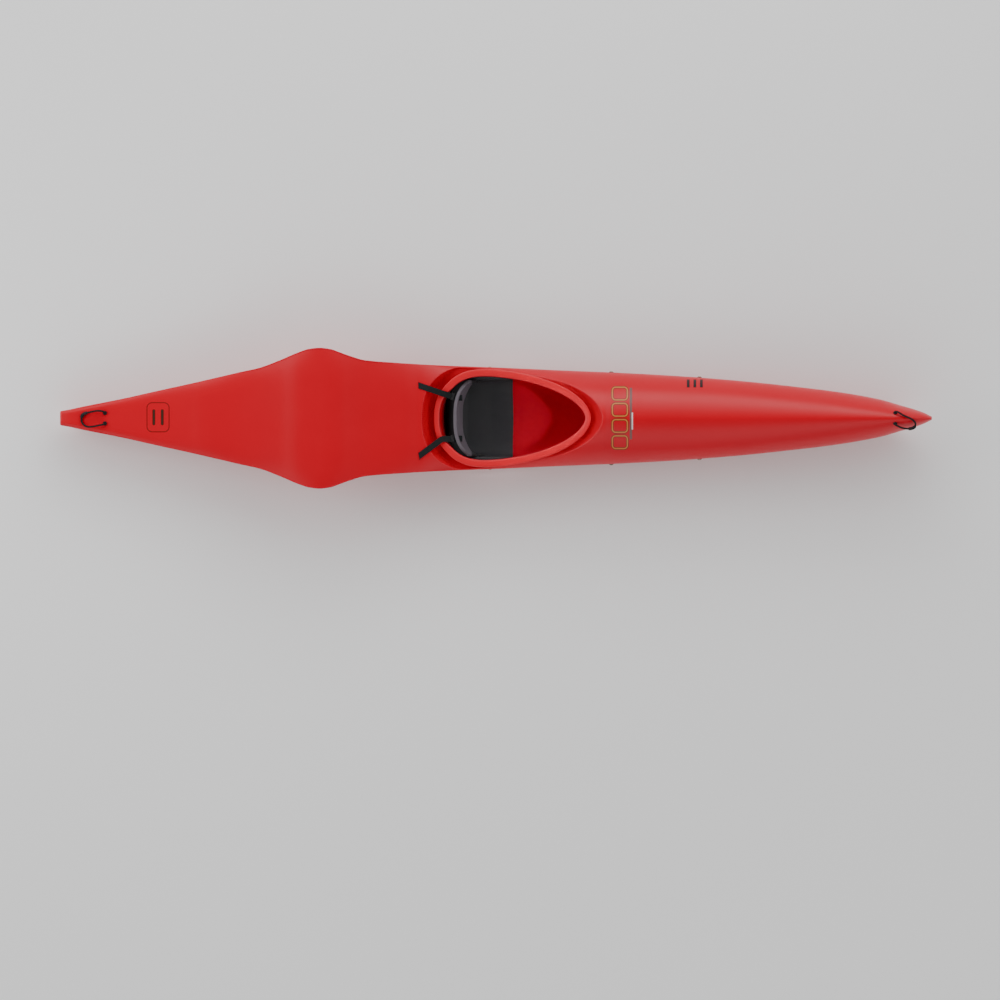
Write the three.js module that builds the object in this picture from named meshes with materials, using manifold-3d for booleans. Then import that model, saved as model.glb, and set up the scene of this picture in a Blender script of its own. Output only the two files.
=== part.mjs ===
// A whitewater racing kayak: hull, deck, coaming, seat, back band, foot braces and grab loops.
// Lengths are in millimetres. +X points to the bow, +Y to port and +Z up.
// The origin lies under the middle of the boat, at the height of the flat of the keel.

import * as THREE from "three";
import { mergeVertices } from "three/addons/utils/BufferGeometryUtils.js";
import Module from "manifold-3d";

const wasm = await Module();
wasm.setup();

// Driving dimensions of the boat

const LENGTH = 3710;
const BEAM = 600;
const DEPTH = 338;
const WALL = 5;
// The gap between parts that touch, and between the deck's edge and the hull's
const FIT_GAP = 0.3;
// How far a cutting solid runs past what it cuts
const OVERRUN = 20;

// Lines of the boat: each row is [place from stern 0 to bow 1, value]

// Half-beam along the crease where deck and hull meet, as shares of half the beam
const CREASE_BEAM_SHARES = [
  [0, 0.1], [0.012, 0.127], [0.023, 0.157], [0.069, 0.27], [0.115, 0.397], [0.161, 0.523],
  [0.206, 0.653], [0.229, 0.717], [0.252, 0.823], [0.275, 0.943], [0.287, 0.987], [0.298, 1],
  [0.31, 0.982], [0.321, 0.935], [0.333, 0.882], [0.35, 0.823], [0.378, 0.793], [0.436, 0.75],
  [0.505, 0.717], [0.573, 0.68], [0.642, 0.645], [0.711, 0.597], [0.78, 0.53], [0.849, 0.44],
  [0.895, 0.368], [0.94, 0.268], [0.964, 0.183], [0.982, 0.118], [0.992, 0.072], [1, 0.02],
];
// Half-beam of the hull below its wings, as shares of the crease's half-beam
const LOWER_BEAM_SHARES = [
  [0, 1], [0.11, 1], [0.161, 0.95], [0.206, 0.84], [0.252, 0.68], [0.298, 0.58],
  [0.344, 0.76], [0.39, 0.89], [0.436, 0.975], [0.48, 1], [1, 1],
];
// Heights of the keel, the crease and the deck's crown, as shares of the depth
const KEEL_HEIGHT_SHARES = [
  [0, 0.133], [0.08, 0.1], [0.161, 0.069], [0.229, 0.036], [0.31, 0], [0.55, 0],
  [0.62, 0.022], [0.7, 0.035], [0.78, 0.053], [0.87, 0.068], [0.93, 0.083], [1, 0.085],
];
const CREASE_HEIGHT_SHARES = [
  [0, 0.525], [0.057, 0.563], [0.103, 0.59], [0.145, 0.64], [0.206, 0.72], [0.247, 0.778],
  [0.275, 0.85], [0.298, 0.892], [0.321, 0.88], [0.346, 0.85], [0.381, 0.79], [0.414, 0.713],
  [0.447, 0.602], [0.505, 0.562], [0.573, 0.503], [0.665, 0.473], [0.734, 0.512], [0.805, 0.547],
  [0.9, 0.61], [0.953, 0.66], [1, 0.76],
];
const CROWN_HEIGHT_SHARES = [
  [0, 0.555], [0.012, 0.58], [0.057, 0.598], [0.103, 0.624], [0.149, 0.686], [0.161, 0.708],
  [0.206, 0.76], [0.229, 0.799], [0.252, 0.849], [0.275, 0.911], [0.292, 0.932], [0.31, 0.947],
  [0.321, 0.94], [0.333, 0.915], [0.35, 0.882], [0.378, 0.849], [0.399, 0.825], [0.413, 0.8],
  [0.436, 0.782], [0.487, 0.83], [0.55, 0.92], [0.596, 0.978], [0.62, 1], [0.6235, 1],
  [0.631, 0.982], [0.64, 0.962], [0.65, 0.95], [0.78, 0.951], [0.849, 0.962], [0.906, 0.976],
  [0.952, 0.988], [1, 0.988],
];
// Powers of the section curves: a higher one is boxier
const HULL_POWERS = [[0, 4], [0.15, 3.4], [0.3, 2.6], [0.5, 2.4], [0.75, 2.2], [0.92, 1.9], [1, 1.8]];
const CROWN_POWERS = [
  [0, 6], [0.2, 5], [0.3, 4], [0.38, 3.2], [0.45, 2.4], [0.6, 1.7], [0.68, 1.5], [0.9, 1.5], [1, 1.7],
];
const SHOULDER_POWERS = [[0, 1], [0.35, 1], [0.45, 1.2], [0.6, 1.5], [0.68, 1.7], [1, 1.7]];
const FLARE_POWER = 3;
// Width of the flat of the keel, as a share of the lower beam
const KEEL_FLAT_SHARE = 0.1;
// The rounded stem: its foremost point's height, and where its upper and lower roundings start
const STEM_HEIGHT_SHARE = 0.76;
const STEM_TOP_START_SHARE = 0.9575;
const STEM_FOOT_START_SHARE = 0.9266;
const STEM_TOP_POWER = 2;
const STEM_FOOT_POWER = 2.4;
// Width of the stem's blunt nose, as a share of the rounding's length
const STEM_NOSE_SHARE = 0.01;
// Places of the sections, closer where the lines turn
const SECTION_PLACE_SHARES = [
  0, 0.03, 0.08, 0.13, 0.175, 0.206, 0.229, 0.246, 0.26, 0.273, 0.285, 0.297, 0.31, 0.322, 0.334,
  0.352, 0.38, 0.41, 0.436, 0.46, 0.49, 0.52, 0.55, 0.58, 0.604, 0.62, 0.631, 0.642, 0.655, 0.7,
  0.75, 0.8, 0.85, 0.9, 0.935, 0.958, 0.972, 0.984, 0.992, 0.997, 1,
];
const HULL_SIDE_STEPS = 8;
const DECK_SIDE_STEPS = 7;
// The hollow inside ends short of the stem, which is solid
const HOLLOW_END_SHARE = 0.97;
// The deck lies in four lengths, which meet face to face at these places
const DECK_JOINT_SHARES = [0.411, 0.6225, 0.77];
const DECK_LENGTH_NAMES = ["aft", "cockpit", "fore", "bow"];

// The cockpit: an egg with its blunt end aft

const COCKPIT_LENGTH = 600;
const COCKPIT_WIDTH = 354;
// Its widest place along the boat, and the part of its length that lies behind that place
const COCKPIT_WIDEST_SHARE = 0.4873;
const COCKPIT_REAR_SHARE = 0.292;
const COCKPIT_REAR_POWER = 2.4;
const COCKPIT_FRONT_POWER = 1.9;
const COCKPIT_STEPS = 52;
// Height of the rim aft, and how much it sweeps up to the front, as shares of the depth
const RIM_HEIGHT_SHARE = 0.6686;
const RIM_RISE_SHARE = 0.2515;
const RIM_LEVEL_SHARE = 0.22;
// The coaming stands in the opening and turns out into a lip for the spray deck
const COAMING_WALL = 5;
const COAMING_HEIGHT = 25;
const COAMING_TAIL = 8;
const COAMING_EDGE = 1.5;
const LIP_WIDTH = 32;
const LIP_THICKNESS = 5;
const LIP_TURN_DOWN = 4;
// The trough round the coaming: its floor's width and its wall's slope, as run over rise
const TROUGH_FLOOR_FRONT = 40;
const TROUGH_FLOOR_REAR = 58;
const TROUGH_RUN_FRONT_SHARE = 0.7;
const TROUGH_RUN_REAR_SHARE = 0.42;
const TROUGH_REACH = 150;

// The seat

const SEAT_FRONT_REACH = 119;
const SEAT_REAR_REACH = 161;
const SEAT_WALL = 5;
const SEAT_FLANGE_HEIGHT = 42;
// Its inner width as a share of the beam, and the height of its cheeks as a share of the depth
const SEAT_WIDTH_SHARE = 0.545;
const SEAT_CHEEK_HEIGHT_SHARE = 0.4882;
// How much thicker the flange grows where the hull's side bulges
const SEAT_FLANGE_BULGE = 1.8;
const SEAT_STEPS = 9;
// Rows run from the seat's rear 0 to its front 1: height of the pan, and of the cheeks, as shares
// of the cheek's full height
const SEAT_PAN_SHARES = [[0, 0.5], [0.14, 0.3], [0.35, 0.21], [0.65, 0.21], [0.85, 0.27], [1, 0.33]];
const SEAT_CHEEK_SHARES = [[0, 0.72], [0.2, 0.95], [0.4, 1], [0.75, 1], [1, 0.68]];
// Across the seat: place from the middle 0 to the wall 1, and climb from pan 0 to cheek top 1
const SEAT_CURVE_SHARES = [
  [0, 0], [0.16, 0], [0.32, 0.005], [0.48, 0.02], [0.64, 0.04], [0.8, 0.1], [0.91, 0.2],
  [0.98, 0.38], [1, 0.6],
];
const SEAT_POMMEL_HEIGHT = 10;
const SEAT_POMMEL_WIDTH = 26;
const SEAT_HOLLOW_DEPTH = 9;
const SEAT_HOLLOW_PLACE = 106;
const SEAT_HOLLOW_WIDTH = 34;

// Screws through the hull

const SCREW_RADIUS = 3;
const SCREW_HEAD_RADIUS = 7.2;
const SCREW_HEAD_HEIGHT = 3.6;
const SCREW_TIP = 2;
const WASHER_RADIUS = 9;
const WASHER_THICKNESS = 1.6;
const NUT_RADIUS = 5.8;
const NUT_HEIGHT = 5;
const ROUND_SIDES = 12;
const HOLE_SIDES = 10;
const NUT_SIDES = 6;
const NOTCH_SIDES = 8;
// A flat washer or boss on the curved hull clears it by this much at its middle
const CURVE_GAP = 0.6;
const SEAT_SCREW_PLACE = 21;
// How far the seat's screws lie below the top of its cheeks
const SEAT_SCREW_DROP = 20;

// The back band, a bent plate that swings on two screws in the seat's cheeks

const BAND_RADIUS = 213;
// Room between each of its tabs and the seat's cheek
const BAND_SEAT_GAP = 3;
const BAND_THICKNESS = 8;
const BAND_TAB_THICKNESS = 5;
const BAND_HEIGHT = 110;
const BAND_TAB_HEIGHT = 44;
// How far its middle and its pivots lie below the top of the seat's cheeks
const BAND_MIDDLE_DROP = 7;
const BAND_PIVOT_DROP = 35;
const BAND_BACK_PLACE = -113;
const BAND_LEAN_SHARE = 0.36;
const BAND_BEND = 18;
const BAND_TAB_LENGTH = 34;
const BAND_STEPS = 7;
const PIVOT_HEAD_RADIUS = 6.5;
const PIVOT_HEAD_HEIGHT = 3;
const PIVOT_CLEARANCE = 0.4;

// The two straps that hold the band back, and the buckles on them

const STRAP_WIDTH = 25;
const STRAP_THICKNESS = 2;
const STRAP_PLACE = 87;
const STRAP_SLOT_HEIGHT = 5;
const STRAP_SLOT_MARGIN = 1.5;
const STRAP_SLOT_DROP = 17;
const STRAP_TAB = 12;
const STRAP_TAB_STANDOFF = 8;
const STRAP_RIM_PLACE = 97;
const STRAP_TAIL_LENGTH = 127;
const STRAP_OUTWARD_SHARE = 0.34;
const STRAP_STEP = 3;
const STRAP_LIFT = 0.9;
const STRAP_FLATNESS = 0.04;
// Lines along the strap, from its inner edge 0 to its outer edge 1, that are laid over the shells
const STRAP_LINE_SHARES = [0, 0.25, 0.5, 0.75, 1];
const BUCKLE_WIDTH = 33;
const BUCKLE_LENGTH = 15;
const BUCKLE_THICKNESS = 7;
const BUCKLE_GAP = 0.6;
const BUCKLE_PLACE_SHARE = 0.45;

// Foot braces: a rail on each side, with a slider and a hinged pedal

const RAIL_SCREW_SPACING = 375;
const RAIL_REAR_REACH = 113;
// How far the rail's screws lie below the crease where deck and hull meet
const RAIL_REAR_DROP = 11.61;
const RAIL_FRONT_DROP = 8.94;
const RAIL_END = 22;
const RAIL_THICKNESS = 6;
const RAIL_HEIGHT = 26;
const RAIL_STANDOFF = 6;
const RAIL_BOSS_RADIUS = 9;
const RAIL_NOTCH_RADIUS = 3.2;
const RAIL_NOTCH_PITCH = 25;
const RAIL_NOTCH_COUNT = 9;
const SLIDER_LENGTH = 60;
const SLIDER_WALL = 5.5;
const SLIDER_FACE = 8;
const SLIDER_HOOK = 2.4;
const SLIDER_HOOK_REACH = 4;
const SLIDER_CLEARANCE = 0.5;
const PEDAL_WIDTH = 74;
const PEDAL_HEIGHT = 96;
const PEDAL_THICKNESS = 7;
const PEDAL_SETBACK = 11;
const PEDAL_RIB_DEPTH = 2.2;
const PEDAL_RIB_COUNT = 7;
// The upper outboard corner is cut away to clear the deck
const PEDAL_CORNER_CUT = 30;
const PEDAL_KNUCKLE_RADIUS = 8;
const PEDAL_PIN_RADIUS = 3;
const PEDAL_PIN_END = 4;
const PEDAL_PIN_CAP_RADIUS = 6;

// Foam pillars that keep deck and hull apart

const PILLAR_WIDTH = 70;
const FRONT_PILLAR_REACH = 101;
const FRONT_PILLAR_END_SHARE = 0.89;
const REAR_PILLAR_REACH = 100;
const REAR_PILLAR_END_SHARE = 0.11;

// Grab loops: a rope between two eyelets on the deck at each end

const ROPE_RADIUS = 4;
const ROPE_SIDES = 8;
const ANCHOR_SPREAD = 44;
const EYELET_RADIUS = 9;
const EYELET_HEIGHT = 4;
const EYELET_BORE_GAP = 0.5;
const KNOT_RADIUS = 9;
const KNOT_STEPS = 5;
const STERN_LOOP_SETBACK = 191;
const BOW_LOOP_SETBACK = 156;
// Each rope's route from port to starboard: [reach from the eyelets, place across, height over the
// deck's crown at the eyelets]
const STERN_LOOP_ROUTE = [
  [7, 28, 14], [20, 31, 18], [38, 31, 19], [58, 27, 16], [76, 23, 10], [90, 18, 4], [98, 9, 1.5],
  [100, -4, 0.8], [98, -17, 1.5], [90, -28, 4], [76, -36, 10], [58, -36, 16], [38, -33, 19],
  [20, -29, 18], [7, -26, 14],
];
const BOW_LOOP_ROUTE = [
  [10, 27, 2], [25, 18, 2], [42, 9, 2.5], [58, 2, 1], [71, -5, -3], [81, -14, -9], [86, -25, -16],
  [82, -37, -21], [72, -43, -23], [55, -45, -22], [37, -43, -19], [20, -38, -12], [8, -32, -5],
];

// Colours

const SHELL_RED = new THREE.MeshStandardMaterial({ color: 0xd40a19, roughness: 0.28, metalness: 0 });
const SEAT_BLACK = new THREE.MeshStandardMaterial({ color: 0x232325, roughness: 0.6, metalness: 0 });
const BAND_GREY = new THREE.MeshStandardMaterial({ color: 0x5a555c, roughness: 0.7, metalness: 0 });
const WEBBING_BLACK = new THREE.MeshStandardMaterial({ color: 0x101012, roughness: 0.9, metalness: 0 });
const BUCKLE_BLACK = new THREE.MeshStandardMaterial({ color: 0x18181a, roughness: 0.45, metalness: 0 });
const SCREW_STEEL = new THREE.MeshStandardMaterial({ color: 0xb9b09a, roughness: 0.35, metalness: 0.9 });
const WASHER_RUBBER = new THREE.MeshStandardMaterial({ color: 0x1a1716, roughness: 0.8, metalness: 0 });
const RAIL_ALUMINIUM = new THREE.MeshStandardMaterial({ color: 0xa9abae, roughness: 0.4, metalness: 0.9 });
const FOAM_GREY = new THREE.MeshStandardMaterial({ color: 0x3b3c40, roughness: 0.95, metalness: 0 });
const ROPE_BLACK = new THREE.MeshStandardMaterial({ color: 0x141415, roughness: 0.85, metalness: 0 });

// Small mathematical helpers

const clamp = (value, low, high) => Math.min(Math.max(value, low), high);
const mix = (from, to, share) => from + (to - from) * share;
const signedPower = (value, power) => Math.sign(value) * Math.abs(value) ** power;
const swell = (distance, width) => Math.exp(-((distance / width) ** 2));

// Height over a row of bumps of a band pulled tight from the first to the last
function tautHeights(places, heights) {
  const kept = [];
  const bend = (a, b, c) => (
    (places[b] - places[a]) * (heights[c] - heights[a]) - (heights[b] - heights[a]) * (places[c] - places[a])
  );
  for (let i = 0; i < places.length; i += 1) {
    while (kept.length > 1 && bend(kept.at(-2), kept.at(-1), i) >= 0) kept.pop();
    kept.push(i);
  }
  return places.map((place) => {
    const next = kept.findIndex((i, at) => at > 0 && places[i] >= place);
    const [from, to] = [kept[next - 1], kept[next]];
    return mix(heights[from], heights[to], (place - places[from]) / (places[to] - places[from]));
  });
}

// A smooth curve through a table's rows that never overshoots them
function curveThrough(rows) {
  const slopes = rows.slice(1).map((row, i) => (row[1] - rows[i][1]) / (row[0] - rows[i][0]));
  const tangents = rows.map((row, i) => {
    if (i === 0) return slopes[0];
    if (i === slopes.length) return slopes[i - 1];
    const [before, after] = [slopes[i - 1], slopes[i]];
    return before * after <= 0 ? 0 : (2 * before * after) / (before + after);
  });
  return (place) => {
    const at = clamp(place, rows[0][0], rows[rows.length - 1][0]);
    let i = 0;
    while (i < rows.length - 2 && at > rows[i + 1][0]) i += 1;
    const width = rows[i + 1][0] - rows[i][0];
    const t = (at - rows[i][0]) / width;
    const fromStart = (1 + 2 * t) * (1 - t) ** 2 * rows[i][1] + t * (1 - t) ** 2 * width * tangents[i];
    const fromEnd = t * t * (3 - 2 * t) * rows[i + 1][1] - t * t * (1 - t) * width * tangents[i + 1];
    return fromStart + fromEnd;
  };
}

// Solids: closed meshes, joined and cut where a piece needs it

function solidFromFaces(points, faces) {
  let volume = 0;
  for (const [a, b, c] of faces) {
    const [p, q, r] = [points[a], points[b], points[c]];
    volume += p[0] * (q[1] * r[2] - q[2] * r[1]);
    volume += p[1] * (q[2] * r[0] - q[0] * r[2]);
    volume += p[2] * (q[0] * r[1] - q[1] * r[0]);
  }
  const outward = volume > 0 ? faces : faces.map(([a, b, c]) => [a, c, b]);
  const mesh = new wasm.Mesh({
    numProp: 3,
    vertProperties: new Float32Array(points.flat()),
    triVerts: new Uint32Array(outward.flat()),
  });
  return new wasm.Manifold(mesh);
}

// A skin over rings of equally many points. Its ends are closed by fans, or by flat caps where
// the section bends in and out, or the last ring joins the first
function skin(rings, ends = "fans") {
  const count = rings[0].length;
  const points = rings.flat();
  const faces = [];
  const spans = ends === "joined" ? rings.length : rings.length - 1;
  for (let row = 0; row < spans; row += 1) {
    const here = row * count;
    const there = ((row + 1) % rings.length) * count;
    for (let i = 0; i < count; i += 1) {
      const j = (i + 1) % count;
      faces.push([here + i, here + j, there + j]);
      faces.push([here + i, there + j, there + i]);
    }
  }
  const last = (rings.length - 1) * count;
  if (ends === "fans") {
    faces.push(...fanFaces(rings[0], 0, true, points));
    faces.push(...fanFaces(rings.at(-1), last, false, points));
  }
  if (ends === "flat") faces.push(...flatFaces(rings[0], 0, true), ...flatFaces(rings.at(-1), last, false));
  return solidFromFaces(points, faces);
}

function fanFaces(ring, first, turned, points) {
  const middle = [0, 1, 2].map((axis) => ring.reduce((sum, point) => sum + point[axis], 0) / ring.length);
  const hub = points.push(middle) - 1;
  return ring.map((_, i) => {
    const j = (i + 1) % ring.length;
    return turned ? [hub, first + j, first + i] : [hub, first + i, first + j];
  });
}

// Triangles over a section that lies square to the boat's length
function flatFaces(ring, first, turned) {
  const outline = ring.map(([, y, z]) => new THREE.Vector2(y, z));
  const flip = THREE.ShapeUtils.area(outline) > 0 === turned;
  return THREE.ShapeUtils.triangulateShape(outline, []).map(([a, b, c]) => (
    flip ? [first + a, first + c, first + b] : [first + a, first + b, first + c]
  ));
}

function solidFromGeometry(geometry, matrix = new THREE.Matrix4()) {
  const bare = geometry.clone();
  bare.deleteAttribute("normal");
  bare.deleteAttribute("uv");
  const merged = mergeVertices(bare.applyMatrix4(matrix));
  const mesh = new wasm.Mesh({
    numProp: 3,
    vertProperties: new Float32Array(merged.attributes.position.array),
    triVerts: new Uint32Array(merged.index.array),
  });
  return new wasm.Manifold(mesh);
}

function geometryFromSolid(solid) {
  const { vertProperties, triVerts } = solid.getMesh();
  const geometry = new THREE.BufferGeometry();
  geometry.setAttribute("position", new THREE.BufferAttribute(vertProperties, 3));
  geometry.setIndex(new THREE.BufferAttribute(triVerts, 1));
  geometry.computeVertexNormals();
  return geometry;
}

function piece(name, solid, material, placement = new THREE.Matrix4()) {
  const mesh = new THREE.Mesh(geometryFromSolid(solid), material);
  mesh.name = name;
  placement.decompose(mesh.position, mesh.quaternion, mesh.scale);
  return mesh;
}

const moved = (x, y, z) => new THREE.Matrix4().makeTranslation(x, y, z);

// A frame at a point, from the directions of its X and Y axes
function frameAt(point, xAxis, yAxis) {
  const x = xAxis.clone().normalize();
  const z = new THREE.Vector3().crossVectors(x, yAxis).normalize();
  const y = new THREE.Vector3().crossVectors(z, x);
  return new THREE.Matrix4().makeBasis(x, y, z).setPosition(point);
}

// A turned solid round the Y axis, from a profile of [radius, place along the axis]
function turned(profile, sides = ROUND_SIDES) {
  const points = profile.map(([radius, along]) => new THREE.Vector2(radius, along));
  return solidFromGeometry(new THREE.LatheGeometry(points, sides));
}

const rod = (radius, from, to, sides = ROUND_SIDES) => (
  turned([[0, from], [radius, from], [radius, to], [0, to]], sides)
);

const block = (sizeX, sizeY, sizeZ, placement) => (
  solidFromGeometry(new THREE.BoxGeometry(sizeX, sizeY, sizeZ), placement)
);

const matrixRows = (matrix) => matrix.elements.slice();
const placed = (solid, matrix) => solid.transform(matrixRows(matrix));

// The boat's lines

const creaseBeamShare = curveThrough(CREASE_BEAM_SHARES);
const lowerBeamShare = curveThrough(LOWER_BEAM_SHARES);
const keelHeightShare = curveThrough(KEEL_HEIGHT_SHARES);
const creaseHeightShare = curveThrough(CREASE_HEIGHT_SHARES);
const crownHeightShare = curveThrough(CROWN_HEIGHT_SHARES);
const hullPower = curveThrough(HULL_POWERS);
const crownPower = curveThrough(CROWN_POWERS);
const shoulderPower = curveThrough(SHOULDER_POWERS);

const placeOf = (x) => x / LENGTH + 0.5;
const atPlace = (place) => (place - 0.5) * LENGTH;
const halfBeam = (x) => (creaseBeamShare(placeOf(x)) * BEAM) / 2;
const lowerHalfBeam = (x) => halfBeam(x) * lowerBeamShare(placeOf(x));
const creaseHeight = (x) => creaseHeightShare(placeOf(x)) * DEPTH;

// How much of the full height is left in the rounding that starts at a place
function stemShare(x, startShare, power) {
  const start = atPlace(startShare);
  const reach = (LENGTH / 2 - start) * (1 + STEM_NOSE_SHARE);
  return (1 - clamp((x - start) / reach, 0, 1) ** power) ** 0.5;
}

function keelHeight(x) {
  const tip = STEM_HEIGHT_SHARE * DEPTH;
  return mix(tip, keelHeightShare(placeOf(x)) * DEPTH, stemShare(x, STEM_FOOT_START_SHARE, STEM_FOOT_POWER));
}

function crownHeight(x) {
  const tip = STEM_HEIGHT_SHARE * DEPTH;
  return mix(tip, crownHeightShare(placeOf(x)) * DEPTH, stemShare(x, STEM_TOP_START_SHARE, STEM_TOP_POWER));
}

// A point of the hull's section, from the edge of the keel's flat at turn 0 to the crease at turn 1
function hullPoint(x, turn) {
  const power = 2 / hullPower(placeOf(x));
  const lower = lowerHalfBeam(x);
  const flat = lower * KEEL_FLAT_SHARE;
  const sine = clamp(Math.sin((turn * Math.PI) / 2), 0, 1);
  const cosine = clamp(Math.cos((turn * Math.PI) / 2), 0, 1);
  const climb = 1 - cosine ** power;
  const flare = (halfBeam(x) - lower) * climb ** FLARE_POWER;
  return [flat + (lower - flat) * sine ** power + flare, mix(keelHeight(x), creaseHeight(x), climb)];
}

// Height of the deck above a place, before the cockpit is sunk into it
function deckHeight(x, y) {
  const across = clamp(Math.abs(y) / halfBeam(x), 0, 1);
  const place = placeOf(x);
  const share = (1 - across ** crownPower(place)) ** (1 / shoulderPower(place));
  return mix(creaseHeight(x), crownHeight(x), share);
}

// Half-sections from the middle out to the crease, as [y, z]
function hullHalfSection(x) {
  const points = [];
  for (let i = 0; i <= HULL_SIDE_STEPS; i += 1) points.push(hullPoint(x, i / HULL_SIDE_STEPS));
  return points;
}

function deckHalfSection(x) {
  const points = [];
  for (let i = 1; i <= DECK_SIDE_STEPS; i += 1) {
    const y = halfBeam(x) * Math.sin((i / DECK_SIDE_STEPS) * (Math.PI / 2));
    points.push([y, deckHeight(x, y)]);
  }
  return points;
}

// A section moved inwards, square to itself. Its points run from starboard to port
function insetSection(points, inset, inwardsIsUp) {
  if (inset === 0) return points;
  const side = inwardsIsUp ? 1 : -1;
  return points.map(([y, z], i) => {
    const before = points[Math.max(i - 1, 0)];
    const after = points[Math.min(i + 1, points.length - 1)];
    const [dy, dz] = [after[0] - before[0], after[1] - before[1]];
    const length = Math.hypot(dy, dz);
    return [y - (side * dz * inset) / length, z + (side * dy * inset) / length];
  });
}

function hullSection(x, inset, rise) {
  const half = hullHalfSection(x);
  const whole = [...half.map(([y, z]) => [-y, z]).reverse(), ...half];
  const points = insetSection(whole, inset, true);
  const edge = points[points.length - 1];
  const top = creaseHeight(x) + rise;
  if (inset === 0) {
    points[0] = [-edge[0], top];
    points[points.length - 1] = [edge[0], top];
    return points.map(([y, z]) => [x, y, z]);
  }
  const inside = points.filter(([, z]) => z < top);
  const capped = points.map(([y, z]) => [x, y, Math.min(z, top)]);
  return [[x, inside[0][0], top], ...capped, [x, -inside[0][0], top]];
}

function deckSection(x, inset, drop) {
  const half = deckHalfSection(x);
  const whole = [...half.map(([y, z]) => [-y, z]).reverse(), [0, crownHeight(x)], ...half];
  const base = creaseHeight(x) - drop;
  const points = insetSection(whole, inset, false).map(([y, z]) => [x, y, Math.max(z, base)]);
  if (inset === 0) {
    points[0][2] = base;
    points[points.length - 1][2] = base;
    return points;
  }
  return [[x, points[0][1], base - OVERRUN], ...points, [x, points[points.length - 1][1], base - OVERRUN]];
}

const sectionPlaces = SECTION_PLACE_SHARES.map(atPlace);

function hollowPlaces(inset) {
  const stern = atPlace(0) + inset;
  const stem = atPlace(HOLLOW_END_SHARE);
  return [stern, ...sectionPlaces.filter((x) => x > stern + inset && x < stem - inset), stem];
}

const hullBody = () => skin(sectionPlaces.map((x) => hullSection(x, 0, -FIT_GAP / 2)));
const hullHollow = (inset, rise) => skin(hollowPlaces(inset).map((x) => hullSection(x, inset, rise)));
const deckBody = () => skin(sectionPlaces.map((x) => deckSection(x, 0, -FIT_GAP / 2)));
const deckHollow = (inset) => skin(hollowPlaces(inset).map((x) => deckSection(x, inset, -FIT_GAP / 2)));

// The space inside both shells, kept clear of them by a gap
const insideSpace = (gap) => hullHollow(WALL + gap, FIT_GAP).add(deckHollow(WALL + gap));

// The outline of the cockpit opening and what follows it

const COCKPIT_WIDEST = atPlace(COCKPIT_WIDEST_SHARE);
const COCKPIT_REACH_AFT = COCKPIT_LENGTH * COCKPIT_REAR_SHARE;
const COCKPIT_REACH_FORWARD = COCKPIT_LENGTH - COCKPIT_REACH_AFT;
const COCKPIT_REAR_END = COCKPIT_WIDEST - COCKPIT_REACH_AFT;
const COCKPIT_FRONT_END = COCKPIT_WIDEST + COCKPIT_REACH_FORWARD;

function rimHeight(x) {
  const level = COCKPIT_REAR_END + COCKPIT_LENGTH * RIM_LEVEL_SHARE;
  const sweep = (x - level) / (COCKPIT_FRONT_END + LIP_WIDTH - level);
  return (RIM_HEIGHT_SHARE + RIM_RISE_SHARE * Math.max(sweep, 0) ** 2) * DEPTH;
}

function outlinePoint(angle) {
  const ahead = Math.cos(angle) >= 0;
  const power = 2 / (ahead ? COCKPIT_FRONT_POWER : COCKPIT_REAR_POWER);
  const reach = ahead ? COCKPIT_REACH_FORWARD : COCKPIT_REACH_AFT;
  return [
    COCKPIT_WIDEST + reach * signedPower(Math.cos(angle), power),
    (COCKPIT_WIDTH / 2) * signedPower(Math.sin(angle), power),
  ];
}

// Places round the outline, evenly spaced, each with the direction out of the opening
function outlinePlaces() {
  const fine = COCKPIT_STEPS * 20;
  const points = Array.from({ length: fine + 1 }, (_, i) => outlinePoint((i / fine) * 2 * Math.PI));
  const walked = [0];
  for (let i = 1; i <= fine; i += 1) {
    const step = Math.hypot(points[i][0] - points[i - 1][0], points[i][1] - points[i - 1][1]);
    walked.push(walked[i - 1] + step);
  }
  const places = [];
  let i = 0;
  for (let step = 0; step < COCKPIT_STEPS; step += 1) {
    const goal = (walked[fine] * step) / COCKPIT_STEPS;
    while (walked[i + 1] < goal) i += 1;
    const share = (goal - walked[i]) / (walked[i + 1] - walked[i]);
    const before = points[(i - 4 + fine) % fine];
    const after = points[(i + 5) % fine];
    const run = Math.hypot(after[0] - before[0], after[1] - before[1]);
    places.push({
      x: mix(points[i][0], points[i + 1][0], share),
      y: mix(points[i][1], points[i + 1][1], share),
      outX: (after[1] - before[1]) / run,
      outY: (before[0] - after[0]) / run,
    });
  }
  return places;
}

const OUTLINE = outlinePlaces();

// A ring round the opening, at a distance out from it and a height on the rim
function outlineRing(distanceAt, heightAt) {
  return OUTLINE.map((place) => {
    const distance = distanceAt(place);
    const x = place.x + place.outX * distance;
    return [x, place.y + place.outY * distance, rimHeight(x) + heightAt];
  });
}

const frontness = (place) => (1 + place.outX) / 2;
const troughFloor = (place) => mix(TROUGH_FLOOR_REAR, TROUGH_FLOOR_FRONT, frontness(place));
const troughRun = (place) => mix(TROUGH_RUN_REAR_SHARE, TROUGH_RUN_FRONT_SHARE, frontness(place));

// The trough's space, or that space with its wall's thickness round it
function troughSolid(thickness) {
  const floor = -COAMING_HEIGHT - thickness;
  const spread = (place) => thickness * (Math.hypot(1, troughRun(place)) - troughRun(place));
  const edge = (place) => troughFloor(place) + spread(place);
  return skin([
    outlineRing(() => -OVERRUN, floor),
    outlineRing(edge, floor),
    outlineRing((place) => edge(place) + troughRun(place) * TROUGH_REACH, floor + TROUGH_REACH),
  ]);
}

// Places on the shells for what is fastened to them, found by a ray that meets the outer surface

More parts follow.
